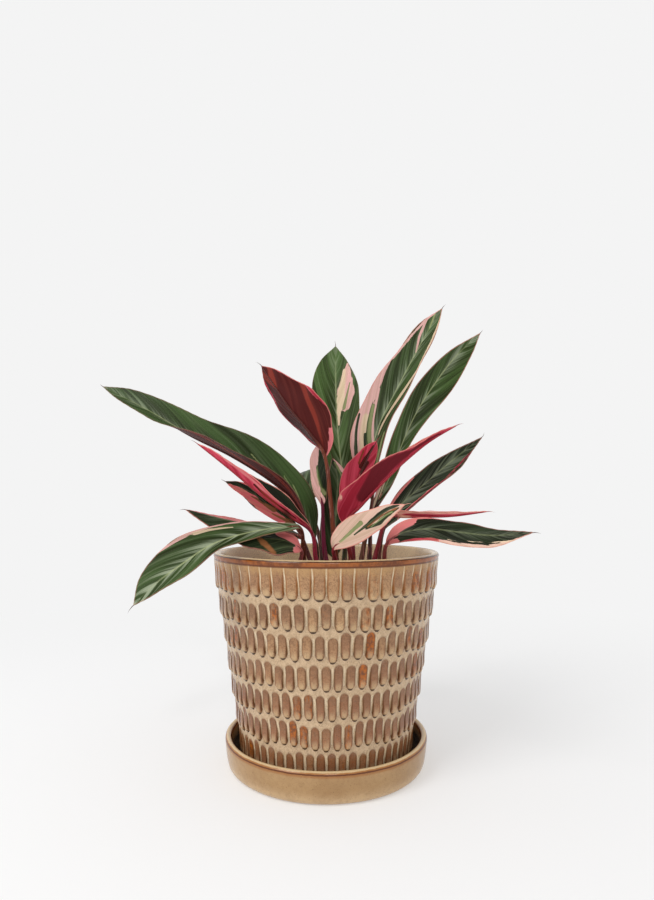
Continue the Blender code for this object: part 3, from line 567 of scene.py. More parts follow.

# "foot" is where the stalk leaves the soil, "stalk" and "rib" are the points that stalk and midrib pass,
# and "face" is the way the upper side looks from base to tip. "left" and "right" are half widths at a
# tenth, three, five, seven and nine tenths of the blade, "fold" is how far the halves are raised, with
# "left_fold" where the left one is raised otherwise, and "wave" is the margin's rise, its count and its
# start. "shade" goes from black-green 0 to fresh green 1, "silver_and_sheen" is the strength of the pale
# feathering along the midrib, partly the leaf's own and partly a painted sheen, "edge" that of the pale
# margin line, and "painted_glow" how much the pale parts are brightened, a painted glow that stands for
# light shining through them. The marks lie one over another. Each runs from (along, mm off the midrib) to
# (along, mm off the midrib), with its half width at both ends and its paint.
LEAVES = {
    "leaf_long_left": dict(
        foot=(-6, 2), stalk_tint=(70, 52, 40), stalk=[(-7, 0, 152)],
        rib=[(-9, -3, 168), (-23, -8, 195), (-42, -10, 212), (-71, -10, 230), (-103, -8, 246),
             (-135, -2, 265), (-174, 8, 286)],
        face=[(0.5, -0.6, 0.6), (0.3, -0.7, 0.6), (0.2, -0.8, 0.5)],
        left=(12, 18, 18, 15, 7), right=(13, 21, 19, 14, 9),
        fold=(35, 38, 20), left_fold=(40, 64, 62, 35, 20), wave=(1.2, 3.0, 0.1),
        shade=0.55, silver_and_sheen=0.45, edge=0.15, painted_glow=0.0, marks=[
            # The three thin sage marks on this leaf are painted highlights: glossy streaks on its pleats.
            (0.3, 4, 0.38, 9, 0.3, 0.4, "sage"), (0.14, 3, 0.2, 8, 0.3, 0.4, "sage"),
            (0.19, 5, 0.24, 9, 0.2, 0.3, "sage")]),
    "leaf_pink_left": dict(
        foot=(-4, -13), stalk_tint=(166, 50, 72), stalk=[(-8, -14, 155)],
        rib=[(-11, -20, 174), (-26, -34, 186), (-46, -43, 201), (-66, -46, 218), (-89, -43, 236)],
        face=[(0.5, 0.5, 0.7)],
        left=(2.5, 4, 6, 5, 3), right=(6, 12, 11, 5, 2), fold=(80, 88, 75), left_fold=(50, 60, 50),
        wave=(0.8, 2.5, 0.4),
        shade=0.0, silver_and_sheen=0.0, edge=0.9, painted_glow=0.05, marks=[
            (0, -5, 1, -3, 5.4, 3.6, "crimson"), (0.18, -0.6, 0.55, -2.6, 1.0, 0.7, "dark"),
            (0, -4.6, 1, -3.5, 0.6, 0.6, "rose")]),
    "leaf_coral_left": dict(
        foot=(-10, 19), stalk_tint=(120, 62, 56), stalk=[(-14, 22, 152)],
        rib=[(-24, 26, 175), (-44, 29, 191), (-62, 31, 204), (-83, 34, 213)],
        face=[(0.3, -0.8, 0.5)],
        left=(6, 11, 12, 9, 4), right=(3, 4, 5, 6, 3.5), fold=(15, 15, 10), wave=(0.8, 2.5, 0.0),
        shade=0.0, silver_and_sheen=0.0, edge=0.2, painted_glow=0.5, marks=[
            (0.22, -7.5, 0.93, -3.5, 7, 3, "coral"), (0.1, -1.5, 0.32, -5.5, 2.2, 0.7, "brown"),
            (0.34, -1.2, 0.64, -3.8, 2.2, 0.5, "brown"), (0.5, 1.6, 0.93, 1.2, 3.0, 1.5, "dark"),
            (0.6, 5.7, 0.95, 3.6, 0.5, 0.5, "coral")]),
    "leaf_dark_left": dict(
        foot=(-18, 6), stalk_tint=(116, 56, 48), stalk=[(-18, 5, 150)],
        rib=[(-19, 3, 168), (-44, 4, 176), (-77, 8, 182), (-111, 14, 190)],
        face=[(0.1, -0.6, 0.8)],
        left=(7, 12, 14, 11, 5), right=(7, 12, 13, 9, 4), fold=(-20, -30, -28), left_fold=(-10, -20, -10),
        wave=(0.8, 2.5, 0.6),
        shade=0.1, silver_and_sheen=0.1, edge=0.6, painted_glow=0.3, marks=[
            (0.3, 8, 1.0, 4, 6, 3.5, "coral")]),
    "leaf_drooping_left": dict(
        foot=(-14, -6), stalk_tint=(104, 52, 36), stalk=[(-17, -17, 156)],
        rib=[(-18, -30, 176), (-29, -40, 178), (-52, -54, 175), (-74, -66, 168), (-93, -76, 155),
             (-106, -82, 145), (-119, -88, 132)],
        face=[(-0.1, -0.8, 0.6), (-0.2, -0.9, 0.4), (-0.4, -0.9, 0.3)],
        left=(6, 8, 9.5, 12, 7), right=(3.5, 7, 12, 16, 10), fold=(25, 28, 15), wave=(1.0, 3.0, 0.3),
        shade=0.55, silver_and_sheen=0.9, edge=0.25, painted_glow=0.0, marks=[
            (0.12, 4.5, 0.3, 8, 1.2, 1.4, "pink"), (0.3, 8, 0.5, 12.5, 1.4, 1.5, "pink"),
            (0.5, 12.5, 0.78, 16, 1.5, 0.6, "pink"), (0.4, 6, 0.58, 12, 0.3, 0.9, "cream")]),
    "leaf_low_left": dict(
        foot=(-17, -19), stalk_tint=(176, 96, 96), stalk=[(-19, -27, 150)],
        rib=[(-18, -36, 162), (-29, -44, 169), (-44, -52, 171), (-62, -58, 170)],
        face=[(0.1, -0.6, 0.8)],
        left=(8, 13, 14, 10, 5), right=(8, 13, 14, 10, 5), fold=(10, -10, -10), wave=(0.7, 2.5, 0.2),
        shade=0.0, silver_and_sheen=0.0, edge=0.5, painted_glow=0.2, marks=[
            (0.0, 0, 0.14, -9, 5, 3, "rose"), (0.0, 2, 0.3, 7, 4, 4.5, "rose"),
            (0.52, -12, 0.62, -4, 1.6, 1.8, "brown"), (0.62, -4, 0.7, 4, 1.8, 1.0, "brown"),
            (0.45, 12, 0.9, 6, 1.5, 1.0, "coral")]),
    "leaf_maroon_upright": dict(
        foot=(8, -18), stalk_tint=(112, 54, 34), stalk=[(6, -25, 165), (3, -30, 197)],
        rib=[(-1, -32, 228), (-12, -32, 245), (-27, -28, 264), (-38, -22, 281), (-48, -14, 297)],
        face=[(0.5, 0.8, 0.3)],
        left=(12, 21, 22, 14.5, 6.5), right=(12, 19, 18, 17, 10),
        fold=(50, 46, 36, 30, 20), left_fold=(36, 36, 20), wave=(0.9, 3.0, 0.0),
        shade=0.35, silver_and_sheen=0.0, edge=0.6, painted_glow=0.0, marks=[
            (0.0, -4, 0.14, -14, 2.5, 2.2, "rose"), (0.34, -22, 0.62, -19.5, 1.6, 1.0, "crimson"),
            (0.62, -18.5, 0.95, -5, 1.0, 0.7, "crimson"), (0.05, 7, 0.28, 19, 2.0, 2.4, "crimson"),
            (0.28, 19, 0.62, 18, 2.6, 2.0, "crimson"), (0.62, 18, 0.95, 7, 1.4, 0.8, "crimson")]),
    "leaf_centre_back": dict(
        foot=(14, 16), stalk_tint=(74, 76, 44), stalk=[(15, 24, 156), (16, 30, 174)],
        rib=[(15, 34, 192), (14, 36, 214), (11, 40, 240), (9, 44, 265), (8, 48, 296), (8, 54, 330)],
        face=[(0, -0.9, 0.3)],
        left=(9, 14, 18, 21, 13), right=(9, 15, 20, 20, 10), fold=(20, 20, 10), wave=(0.8, 2.5, 0.3),
        shade=0.85, silver_and_sheen=0.3, edge=0.1, painted_glow=0.15, marks=[
            (0.885, 10.6, 0.7, 8.8, 0.6, 7.8, "pink"), (0.7, 8.6, 0.62, 6.9, 7.8, 5.6, "pink"),
            (0.84, 7.6, 0.64, 3.6, 1.0, 3.2, "cream"), (0.66, 3.2, 0.5, 1.4, 2.8, 0.9, "cream"),
            (0.76, 12.4, 0.6, 7.0, 0.4, 1.6, "sage"), (0.46, 15, 0.62, 19.5, 3.0, 1.2, "green")]),
    "leaf_small_cream": dict(
        foot=(1, 4), stalk_tint=(122, 34, 62), stalk=[(-2, 5, 165)],
        rib=[(-3, 5, 194), (-6, 6, 205), (-7, 8, 223), (-4, 10, 243)],
        face=[(0, -0.9, 0.3)],
        left=(3, 5, 5.5, 6.5, 4), right=(5, 8, 9, 8, 4), fold=(20, 20, 10), wave=(0.5, 2.0, 0.5),
        shade=0.1, silver_and_sheen=0.0, edge=0.2, painted_glow=0.5, marks=[
            (0.08, -2, 0.95, -3, 5, 4.5, "pink"), (0.15, 4, 0.6, -0.2, 1.6, 1.2, "sage"),
            (0.3, 5.5, 0.62, 3, 2.0, 2.8, "dark"), (0.62, 3, 0.88, 0, 2.8, 0.8, "dark")]),
    "leaf_small_dark": dict(
        foot=(6, 12), stalk_tint=(96, 30, 50), stalk=[(6, 12, 145)],
        rib=[(6, 12, 152), (7, 12, 174), (8, 13, 194), (9, 15, 214), (5, 17, 231)],
        face=[(0, -0.9, 0.3)],
        left=(10, 12, 11, 10, 5), right=(6, 9, 11, 10, 5), fold=(15, 20, 10), left_fold=(5, 10, 10),
        wave=(0.5, 2.0, 0.1),
        shade=0.3, silver_and_sheen=0.15, edge=0.3, painted_glow=0.3, marks=[
            (0.8, 7, 0.98, 1.5, 1.6, 1.2, "pink"), (0.78, 4, 0.95, 1, 0.5, 0.8, "sage")]),
    "leaf_tall_cream_edge": dict(
        foot=(26, 6), stalk_tint=(96, 60, 44), stalk=[(29, 8, 160)],
        rib=[(36, 8, 198), (35, 10, 221), (41, 14, 253), (58, 20, 288), (79, 26, 328), (95, 32, 355)],
        face=[(-0.5, -0.8, 0.3)],
        left=(10, 20, 19.5, 15, 9), right=(8, 18, 20, 16.5, 7.5), fold=(35, 35, 15), wave=(1.2, 3.0, 0.2),
        shade=0.55, silver_and_sheen=0.6, edge=0.5, painted_glow=0.0, marks=[
            (0.1, -12, 0.4, -17, 7.5, 5.0, "pink"), (0.4, -17, 0.66, -16.5, 5.0, 1.0, "pink"),
            (0.66, -16, 0.96, -5, 1.0, 0.8, "pink"), (0.26, -0.8, 0.36, -7, 1.0, 1.3, "pink"),
            (0.36, -7, 0.5, -13.5, 1.3, 1.0, "pink"), (0.22, -8, 0.36, -13, 2.2, 2.0, "cream"),
            (0.26, -4, 0.42, -11.5, 1.6, 1.2, "sage"), (0.17, -11.5, 0.36, -19, 1.4, 1.0, "dark"),
            (0.22, -5.5, 0.29, -9, 1.3, 0.8, "dark"), (0.74, -0.2, 0.82, -4.2, 0.5, 0.9, "pink"),
            (0.82, -4.2, 0.92, -6.3, 0.9, 0.8, "pink"), (0.92, -6.3, 1.0, -1, 0.8, 0.6, "pink"),
            (0.88, -0.4, 0.96, -2.6, 0.4, 0.7, "sage"), (0.3, 3.5, 0.42, 8, 0.9, 2.2, "cream"),
            (0.42, 8, 0.5, 12, 2.2, 2.6, "cream"), (0.5, 12, 0.63, 18.5, 2.6, 1.0, "cream"),
            (0.62, 18.5, 0.97, 4, 1.0, 0.8, "cream"), (0.15, 8.5, 0.3, 14, 2.0, 0.8, "sage")]),
    "leaf_tall_right": dict(
        foot=(34, 18), stalk_tint=(60, 34, 30), stalk=[(35, 20, 158)],
        rib=[(37, 20, 186), (50, 24, 214), (63, 28, 247), (74, 32, 270), (88, 36, 292), (108, 42, 318),
             (131, 50, 340)],
        face=[(0.3, -0.9, -0.2)],
        left=(7, 14, 17, 13.5, 4.5), right=(4, 6, 11, 15.5, 8.5), fold=(20, 25, 15), wave=(1.1, 3.0, 0.6),
        shade=0.8, silver_and_sheen=0.7, edge=0.5, painted_glow=0.0, marks=[
            (0.02, -1, 0.14, -6, 1.0, 1.4, "cream"), (0.05, 0.5, 0.2, -5.5, 0.6, 1.0, "cream"),
            (0.08, -6, 0.22, -12, 1.6, 1.0, "pink")]),
    "leaf_magenta": dict(
        foot=(16, -14), stalk_tint=(128, 40, 44), stalk=[(18, -20, 155)],
        rib=[(14, -26, 179), (25, -30, 193), (40, -34, 209), (55, -36, 224), (72, -36, 238),
             (92, -34, 250)],
        face=[(-0.6, 0.1, 0.8)],
        left=(16, 17, 12, 6, 3), right=(16, 17, 12, 5, 2.5), fold=(60, 60, 50), wave=(0.7, 2.5, 0.0),
        shade=0.2, silver_and_sheen=0.0, edge=0.8, painted_glow=0.1, marks=[
            (0, 0, 1, 0, 24, 12, "crimson"), (0.23, 4, 0.42, 8.5, 4.0, 5.8, "wine"),
            (0.42, 8, 0.62, 4, 5.8, 2.0, "wine"), (0.62, 3.5, 0.88, 0.8, 1.2, 0.3, "wine"),
            (0.115, 15.4, 0.13, 17, 0.9, 0.8, "cream")]),
    "leaf_small_red": dict(
        foot=(20, -6), stalk_tint=(128, 32, 52), stalk=[(20, -8, 160)],
        rib=[(18, -9, 190), (20, -9, 205), (28, -9, 223), (38, -7, 242)],
        face=[(-0.2, 0.9, 0.4)],
        left=(7, 11, 12, 9, 5), right=(7, 11, 12, 9, 5), fold=(20, 20, 10), wave=(0.5, 2.0, 0.3),
        shade=0.1, silver_and_sheen=0.0, edge=0.5, painted_glow=0.15, marks=[
            (0, 0, 1, 0, 16, 14, "crimson"), (0.4, -0.2, 0.68, -1.6, 0.8, 1.8, "dark"),
            (0.6, 1.6, 0.92, 0.4, 1.6, 0.8, "dark"), (0.62, 4.2, 0.8, 5.5, 0.7, 0.5, "brown")]),
    "leaf_dark_right": dict(
        foot=(40, 2), stalk_tint=(84, 42, 30), stalk=[(41, 3, 156)],
        rib=[(45, 4, 176), (57, 6, 193), (80, 10, 213), (102, 14, 231), (125, 22, 248)],
        face=[(0.1, -0.9, -0.1)],
        left=(6, 11.5, 12, 7.5, 2.5), right=(6, 8, 8.5, 9, 3.5), fold=(20, 25, 10), wave=(0.9, 2.5, 0.7),
        shade=0.0, silver_and_sheen=0.35, edge=0.3, painted_glow=0.1, marks=[
            (0.05, -5, 0.38, -11.8, 1.6, 1.0, "rose"), (0.15, 7.2, 0.55, 8.2, 1.4, 0.7, "wine"),
            (0.55, 8.2, 0.97, 3.0, 0.6, 0.6, "wine"), (0.1, 5.6, 0.5, 6.4, 0.3, 0.2, "rose")]),
    "leaf_cream_front": dict(
        foot=(10, -28), stalk_tint=(150, 50, 60), stalk=[(8, -42, 150)],
        rib=[(5, -56, 164), (12, -60, 170), (25, -66, 179), (38, -72, 189), (50, -76, 194)],
        face=[(-0.3, -0.8, 0.6)],
        left=(9, 12, 10.5, 6.5, 2.5), right=(6, 11, 13, 12, 5), fold=(20, 20, 10), wave=(0.6, 2.0, 0.1),
        shade=0.1, silver_and_sheen=0.0, edge=0.9, painted_glow=0.0, marks=[
            (0, 0, 1, 0, 16, 12, "peach"), (0.13, -0.8, 0.46, -3.8, 0.7, 1.5, "sage"),
            (0.33, 1.0, 0.6, -0.4, 0.8, 1.9, "dark"), (0.6, -0.4, 0.93, -1.4, 1.9, 1.2, "dark"),
            (0.5, 3, 0.68, 6.8, 1.2, 2.1, "dark"), (0.68, 6.8, 0.92, 1.2, 2.1, 1.0, "dark"),
            (0.52, 2.2, 0.9, 1.0, 0.7, 0.7, "brown"), (0.56, 4.8, 0.84, 2.8, 0.5, 0.8, "sage")]),
    "leaf_thin_right": dict(
        foot=(34, -14), stalk_tint=(130, 40, 50), stalk=[(38, -16, 162)],
        rib=[(45, -20, 184), (61, -24, 186), (89, -28, 186), (115, -30, 189)],
        face=[(0, 0.2, 1)],
        left=(5, 8, 9, 8, 4), right=(5, 5, 4.5, 4, 2), fold=(30, 30, 20), wave=(0.5, 2.0, 0.0),
        shade=0.3, silver_and_sheen=0.0, edge=0.9, painted_glow=0.4, marks=[
            (0, 0, 0.3, 0, 12, 6, "crimson"), (0.2, 0, 1.0, 0, 10, 8, "pink"),
            (0.45, 1.2, 0.68, 1.0, 0.4, 0.7, "brown"), (0.2, 0.3, 1.0, 0.2, 1.8, 1.0, "crimson")]),
    "leaf_low_right": dict(
        foot=(36, -30), stalk_tint=(164, 84, 84), stalk=[(40, -40, 152)],
        rib=[(41, -52, 167), (51, -58, 175), (68, -64, 178), (87, -68, 176), (109, -70, 174),
             (133, -72, 176)],
        face=[(-0.1, -0.75, 0.65)],
        left=(8, 11, 10, 8, 3), right=(6, 9, 9.5, 9.5, 3.5), fold=(0, -10, -10), wave=(0.8, 2.5, 0.4),
        shade=0.0, silver_and_sheen=0.25, edge=0.4, painted_glow=0.15, marks=[
            (0, -2, 0.2, -8.5, 5, 4.5, "rose"), (0, 3, 0.08, 5, 4, 3, "rose"),
            (0.1, 7.5, 0.42, 9, 1.6, 1.2, "crimson"), (0.42, 9, 0.72, 9.5, 1.4, 2.0, "peach"),
            (0.72, 9.2, 0.98, 2, 2.0, 1.0, "peach"), (0.45, 6.4, 0.92, 4.2, 0.1, 0.4, "cream"),
            (0.24, -10.5, 0.45, -11, 1.0, 0.6, "rose")]),
    "leaf_rear_right": dict(
        foot=(20, 24), stalk_tint=(80, 50, 40), stalk=[(22, 34, 168)],
        rib=[(22, 48, 198), (26, 72, 221), (32, 102, 234), (36, 140, 217)],
        face=[(0, -0.2, 1)],
        left=(10, 17, 18, 15, 8), right=(10, 17, 18, 15, 8), fold=(15, 15, 10), wave=(1.0, 3.0, 0.2),
        shade=0.6, silver_and_sheen=0.6, edge=0.4, painted_glow=0.0, marks=[
            (0.1, 4, 0.5, 13, 3, 4.5, "cream"), (0.4, 13, 0.75, 15, 4, 1.5, "pink"),
            (0.25, 6, 0.45, 11, 1.2, 0.8, "sage"), (0.6, -8, 0.8, -14, 0.8, 1.4, "pink")]),
    "leaf_rear_left": dict(
        foot=(-2, 24), stalk_tint=(80, 50, 40), stalk=[(-6, 34, 168)],
        rib=[(-15, 48, 194), (-21, 68, 214), (-28, 94, 222), (-40, 128, 208)],
        face=[(0, -0.2, 1)],
        left=(10, 16, 17, 14, 8), right=(10, 16, 17, 14, 8), fold=(15, 15, 10), wave=(1.0, 3.0, 0.7),
        shade=0.55, silver_and_sheen=0.5, edge=0.4, painted_glow=0.0, marks=[
            (0.15, -5, 0.5, -12, 2.5, 4.0, "pink"), (0.5, -12, 0.8, -13, 4.0, 1.2, "cream"),
            (0.3, -7, 0.5, -10.5, 0.8, 1.2, "dark"), (0.35, 9, 0.6, 14.5, 0.6, 1.2, "cream")]),
}


def smooth_curve(points):
    """A soft curve from the second point to the last, as many short chords."""
    ends = points + [2 * points[-1] - points[-2]]
    curve = []
    for before, start, end, after in zip(ends, ends[1:], ends[2:], ends[3:]):
        for step in range(CHORDS):
            t = step / CHORDS
            curve.append(0.5 * (2 * start + (end - before) * t
                                + (2 * before - 5 * start + 4 * end - after) * t ** 2
                                + (3 * start - before - 3 * end + after) * t ** 3))
    curve.append(points[-1])
    return curve


def even_points(curve, steps):
    """Points at equal distances along a curve, and its length."""
    lengths = [0.0]
    for start, end in zip(curve, curve[1:]):
        lengths.append(lengths[-1] + (end - start).length)
    chosen = []
    here = 0
    for step in range(steps + 1):
        goal = lengths[-1] * step / steps
        while here < len(curve) - 2 and lengths[here + 1] < goal:
            here += 1
        share = (goal - lengths[here]) / (lengths[here + 1] - lengths[here])
        chosen.append(curve[here].lerp(curve[here + 1], min(1.0, share)))
    return chosen, lengths[-1]


def eased(values, share):
    """A value that passes through evenly spaced ones with soft turns."""
    if len(values) == 1:
        return values[0]
    place = min(max(share, 0.0), 1.0) * (len(values) - 1)
    first = min(int(place), len(values) - 2)
    share = place - first
    share = share * share * (3 - 2 * share)
    return values[first] * (1 - share) + values[first + 1] * share


def half_width(widths, along):
    """The blade's outline: a smooth curve through its half widths at the stations."""
    marks = (1.3, *widths, 0.4)
    rises = [(b - a) / (t - s) for a, b, s, t in zip(marks, marks[1:], STATIONS, STATIONS[1:])]
    slopes = [rises[0]]
    for before, after in zip(rises, rises[1:]):
        slopes.append((before + after) / 2 * (1.0 if before * after > 0 else 0.3))
    slopes.append(rises[-1])
    first = max(i for i in range(len(STATIONS) - 1) if STATIONS[i] <= along or i == 0)
    span = STATIONS[first + 1] - STATIONS[first]
    t = (along - STATIONS[first]) / span
    return ((2 * t ** 3 - 3 * t ** 2 + 1) * marks[first]
            + (t ** 3 - 2 * t ** 2 + t) * span * slopes[first]
            + (3 * t ** 2 - 2 * t ** 3) * marks[first + 1]
            + (t ** 3 - t ** 2) * span * slopes[first + 1])


def midrib_of(leaf, steps):
    """The points of the stalk and of the midrib, the midrib's frames and the blade's length."""
    x, y = leaf["foot"]
    stalk = [Vector(point) for point in leaf["stalk"]]
    rib = [Vector(point) for point in leaf["rib"]]
    curve = smooth_curve([Vector((x, y, STALK_START)), Vector((x, y, OUT_OF_SOIL))] + stalk + rib)
    neck = CHORDS * (len(stalk) + 1)
    stalk_points = even_points(curve[:neck + 1], CHORDS)[0]
    points, length = even_points(curve[neck:], steps)
    frames = []
    for index, centre in enumerate(points):
        before = points[index - 1] if index else stalk_points[-2]
        run = (points[min(index + 1, steps)] - before).normalized()
        up = eased([Vector(way) for way in leaf["face"]], index / steps)
        up = (up - run * up.dot(run)).normalized()
        frames.append((centre, run, up, run.cross(up)))
    return [Vector((x, y, STALK_BOTTOM))] + stalk_points, frames, length


def painted(leaf, along, off, length):
    """How deep in a pale mark this spot lies, in millimetres, the mark's tone, and the green's shade."""
    spot = Vector((along * length, off))
    deepest = 6.0
    depth = -deepest
    tone = 1.0
    shade = leaf["shade"]
    for along_one, off_one, along_two, off_two, width_one, width_two, paint in leaf["marks"]:
        start = Vector((along_one * length, off_one))
        way = Vector((along_two * length, off_two)) - start
        share = min(1.0, max(0.0, (spot - start).dot(way) / way.length_squared))
        width = width_one + (width_two - width_one) * share
        inside = (width - (spot - start - way * share).length) * max(1.0, 2.4 / max(0.4, width))
        over = soft_step(inside, -2.4, 1.2)
        is_pale, amount = PAINTS[paint]
        if is_pale:
            depth = max(depth, inside)
            tone += (amount - tone) * over
        else:
            depth = min(depth, max(-deepest, -inside))
            shade += (amount - shade) * over
    return max(-deepest, min(deepest, depth)), tone, shade


def carry(mesh, name, values):
    """Gives each point of the mesh three numbers, which its finish reads by this name."""
    kept = mesh.attributes.new(name, "FLOAT_VECTOR", "POINT")
    kept.data.foreach_set("vector", [number for value in values for number in value])


def grow_blade(name, leaf, seed, rows, frames, length):
    """The blade: a sheet pressed to its fold, waves and pleats, which carries its marks and veins."""
    columns = 2 * int(max(leaf["left"] + leaf["right"]) * COLUMNS_PER_MM)
    rise, waves, start = leaf["wave"]
    points = []
    veins = []
    paints = []

    def blade_place(column, row):
        centre, run, up, side = frames[row]
        along = row / rows
        across = 2 * column / columns - 1
        half = half_width(leaf["left"] if across < 0 else leaf["right"], along)
        folds = leaf.get("left_fold", leaf["fold"]) if across < 0 else leaf["fold"]
        fold = math.radians(eased(folds, along))
        turn = waves * along + start + (LEFT_WAVE_STARTS if across < 0 else 0.0)
        wave = rise * math.sin(math.tau * turn) * across ** 2 * math.sin(math.pi * along)
        vein = along * length - abs(across) * half * (VEIN_SLANT + VEIN_BEND * abs(across))
        pleat = PLEAT_HEIGHT * math.sin(math.tau * vein / PLEAT_PITCH + 2 * math.sin(vein / 15))
        pleat *= abs(across) * (1.4 - abs(across))
        lift = half * math.sqrt(across * across + FOLD_ROUNDING) * math.sin(fold)
        points.append((across, along, half))
        veins.append((across * half, vein, seed * GRAIN_STEP))
        paints.append(painted(leaf, along, across * half, length))
        return (centre + side * (half * across * math.cos(fold)) + up * (lift + wave + pleat)) * MM

    blade = formed_sheet(name, columns, rows, blade_place)
    carry(blade.data, "blade", points)
    carry(blade.data, "vein", veins)
    carry(blade.data, "paint", paints)
    carry(blade.data, "look", [(leaf["silver_and_sheen"], leaf["edge"], leaf["painted_glow"])] * len(points))
    for finish in (leaf_top, leaf_under, leaf_stalk):
        blade.data.materials.append(finish.material)
    skin = blade.modifiers.new("thickness", "SOLIDIFY")
    skin.thickness = BLADE_THICKNESS * MM
    skin.offset = 0
    skin.material_offset = 1
    bpy.ops.object.modifier_apply(modifier="thickness")
    return blade


def grow_stalk(name, leaf, seed, rows, stalk, frames, length):
    """The stalk, the ridge that it runs on into under the blade, and the thread at the leaf's tip."""
    rib_rows = range(0, rows + 1, RIB_EVERY)
    line = [(stalk[0], 0.0)]
    for index, point in enumerate(stalk[1:]):
        line.append((point, STALK_RADIUS - (STALK_RADIUS - RIB_RADIUS) * math.sqrt(index / CHORDS)))
    for row in rib_rows[1:]:
        centre, run, up, side = frames[row]
        along = row / rows
        radius = RIB_RADIUS * (1 - 0.8 * along)
        fold = math.radians(eased(leaf["fold"], along))
        keel = KEEL_RISE * half_width(leaf["right"], along) * math.sin(fold)
        line.append((centre + up * (keel - radius * min(0.95, 6.0 * along)), radius))
    centre, run, up, side = frames[-1]
    curl = random.Random(seed)
    bend = side * curl.uniform(-0.5, 0.5) - up * curl.uniform(0.0, 0.5)
    for share in (0.2, 0.4, 0.6, 0.8, 1.0):
        line.append((centre + run * (TIP_LENGTH * share) + bend * (5 * share * share), 0.3 * (1 - share)))

    def tube_place(column, row):
        centre, radius = line[row]
        after = line[min(row + 1, len(line) - 1)][0]
        run = (after - line[max(row - 1, 0)][0]).normalized()
        up = frames[min(rows, RIB_EVERY * max(0, row - len(stalk)))][2]
        side = run.cross(up).normalized()
        up = side.cross(run)
        angle = math.tau * (column % TUBE_SIDES) / TUBE_SIDES
        return (centre + side * (radius * math.cos(angle)) + up * (radius * math.sin(angle))) * MM

    tube = formed_sheet(name + "_tube", TUBE_SIDES, len(line) - 1, tube_place)
    up_blade = [max(0.0, (row - len(stalk)) / len(rib_rows))
                for row in range(len(line)) for column in range(TUBE_SIDES + 1)]
    carry(tube.data, "run", [(share, 0.0, 0.0) for share in up_blade])
    carry(tube.data, "paint", [painted(leaf, share, 0.0, length) for share in up_blade])
    carry(tube.data, "look", [tint(*leaf["stalk_tint"])[:3]] * len(up_blade))
    closed_up(tube, 80)
    return tube


def grow_leaf(name, leaf, seed):
    straight = sum((Vector(end) - Vector(start)).length for start, end in zip(leaf["rib"], leaf["rib"][1:]))
    rows = int(straight / ROW_LENGTH)
    stalk, frames, length = midrib_of(leaf, rows)
    blade = grow_blade(name, leaf, seed, rows, frames, length)
    tube = grow_stalk(name, leaf, seed, rows, stalk, frames, length)
    for material in blade.data.materials:
        tube.data.materials.append(material)
    for face in tube.data.polygons:
        face.material_index = 2
    bpy.ops.object.select_all(action="DESELECT")
    tube.select_set(True)
    blade.select_set(True)
    bpy.context.view_layer.objects.active = blade
    bpy.ops.object.join()
    bpy.ops.object.shade_smooth_by_angle(angle=math.radians(60))
    return blade


class LeafSide(Finish):
    """The finish of one side of a blade, which reads what the blade's mesh carries."""

    def __init__(self, name, feather):
        super().__init__(name)
        self.across, self.along, self.half = self.drawn("blade")
        self.beside, self.vein, self.seed = self.drawn("vein")
        self.pale, self.tone, self.shade = self.drawn("paint")
        self.silver_and_sheen, self.edge, self.painted_glow = self.drawn("look")
        self.streak = self.veined(5.5, 34.0, 0.0, 3.0, 0.6)
        self.feather = self.veined(*feather)

    def veined(self, wide, long, start, detail, rough):
        """Streaks that run with the side veins, this many millimetres wide and long."""
        place = self.spot(self.vein / wide, self.beside / long, self.seed + start)
        return self.grain(place, 1.0, detail, rough)

    def marked(self, ground, light, margin):
        """The pale marks with their ragged ends over the ground colour, brightened by the painted glow, and
        the narrow line at the margin.
        """
        field = self.pale + (self.streak - 0.5) * 2.6 + (self.feather - 0.5) * 2.0
        # The pale marks' colour is brightened by the leaf's painted glow, which stands for light shining
        # through them.
        skin = field.ease(-0.3, 0.3).blend(ground, self.scaled(light, 1.0 + self.painted_glow))
        from_margin = (1.0 - abs(self.across)) * self.half
        return (from_margin.ease(0.8, 0.4) * self.edge).blend(skin, margin)


leaf_top = LeafSide("leaf_upper_side", feather=(11.0, 30.0, 3.0, 3.0, 0.6))
streak, feather = leaf_top.streak, leaf_top.feather
tone, shade, silver_and_sheen = leaf_top.tone, leaf_top.shade, leaf_top.silver_and_sheen
fine = leaf_top.veined(2.6, 40.0, 0.0, 2.0, 0.5)
broad = leaf_top.veined(34.0, 26.0, 9.0, 2.0, 0.5)
cells = leaf_top.grain(leaf_top.millimetres(), 1.1, 2.0, 0.6)
black_green = broad.blend(tint(6, 9, 3), tint(30, 34, 15))
dark_green = shade.blend(black_green, tint(42, 56, 16))
mid_green = shade.blend(tint(34, 44, 24), tint(76, 102, 50))
green = (broad + (feather - 0.5) * 0.8).ease(0.34, 0.68).blend(dark_green, mid_green)
vein_green = shade.blend(tint(58, 66, 44), tint(98, 122, 70))
green = (streak.ease(0.5, 0.75) * 0.3).blend(green, vein_green)
green = (fine.ease(0.55, 0.7) * 0.22).blend(green, tint(120, 132, 92))
by_midrib = abs(leaf_top.beside).ease(9.0, 0.5)
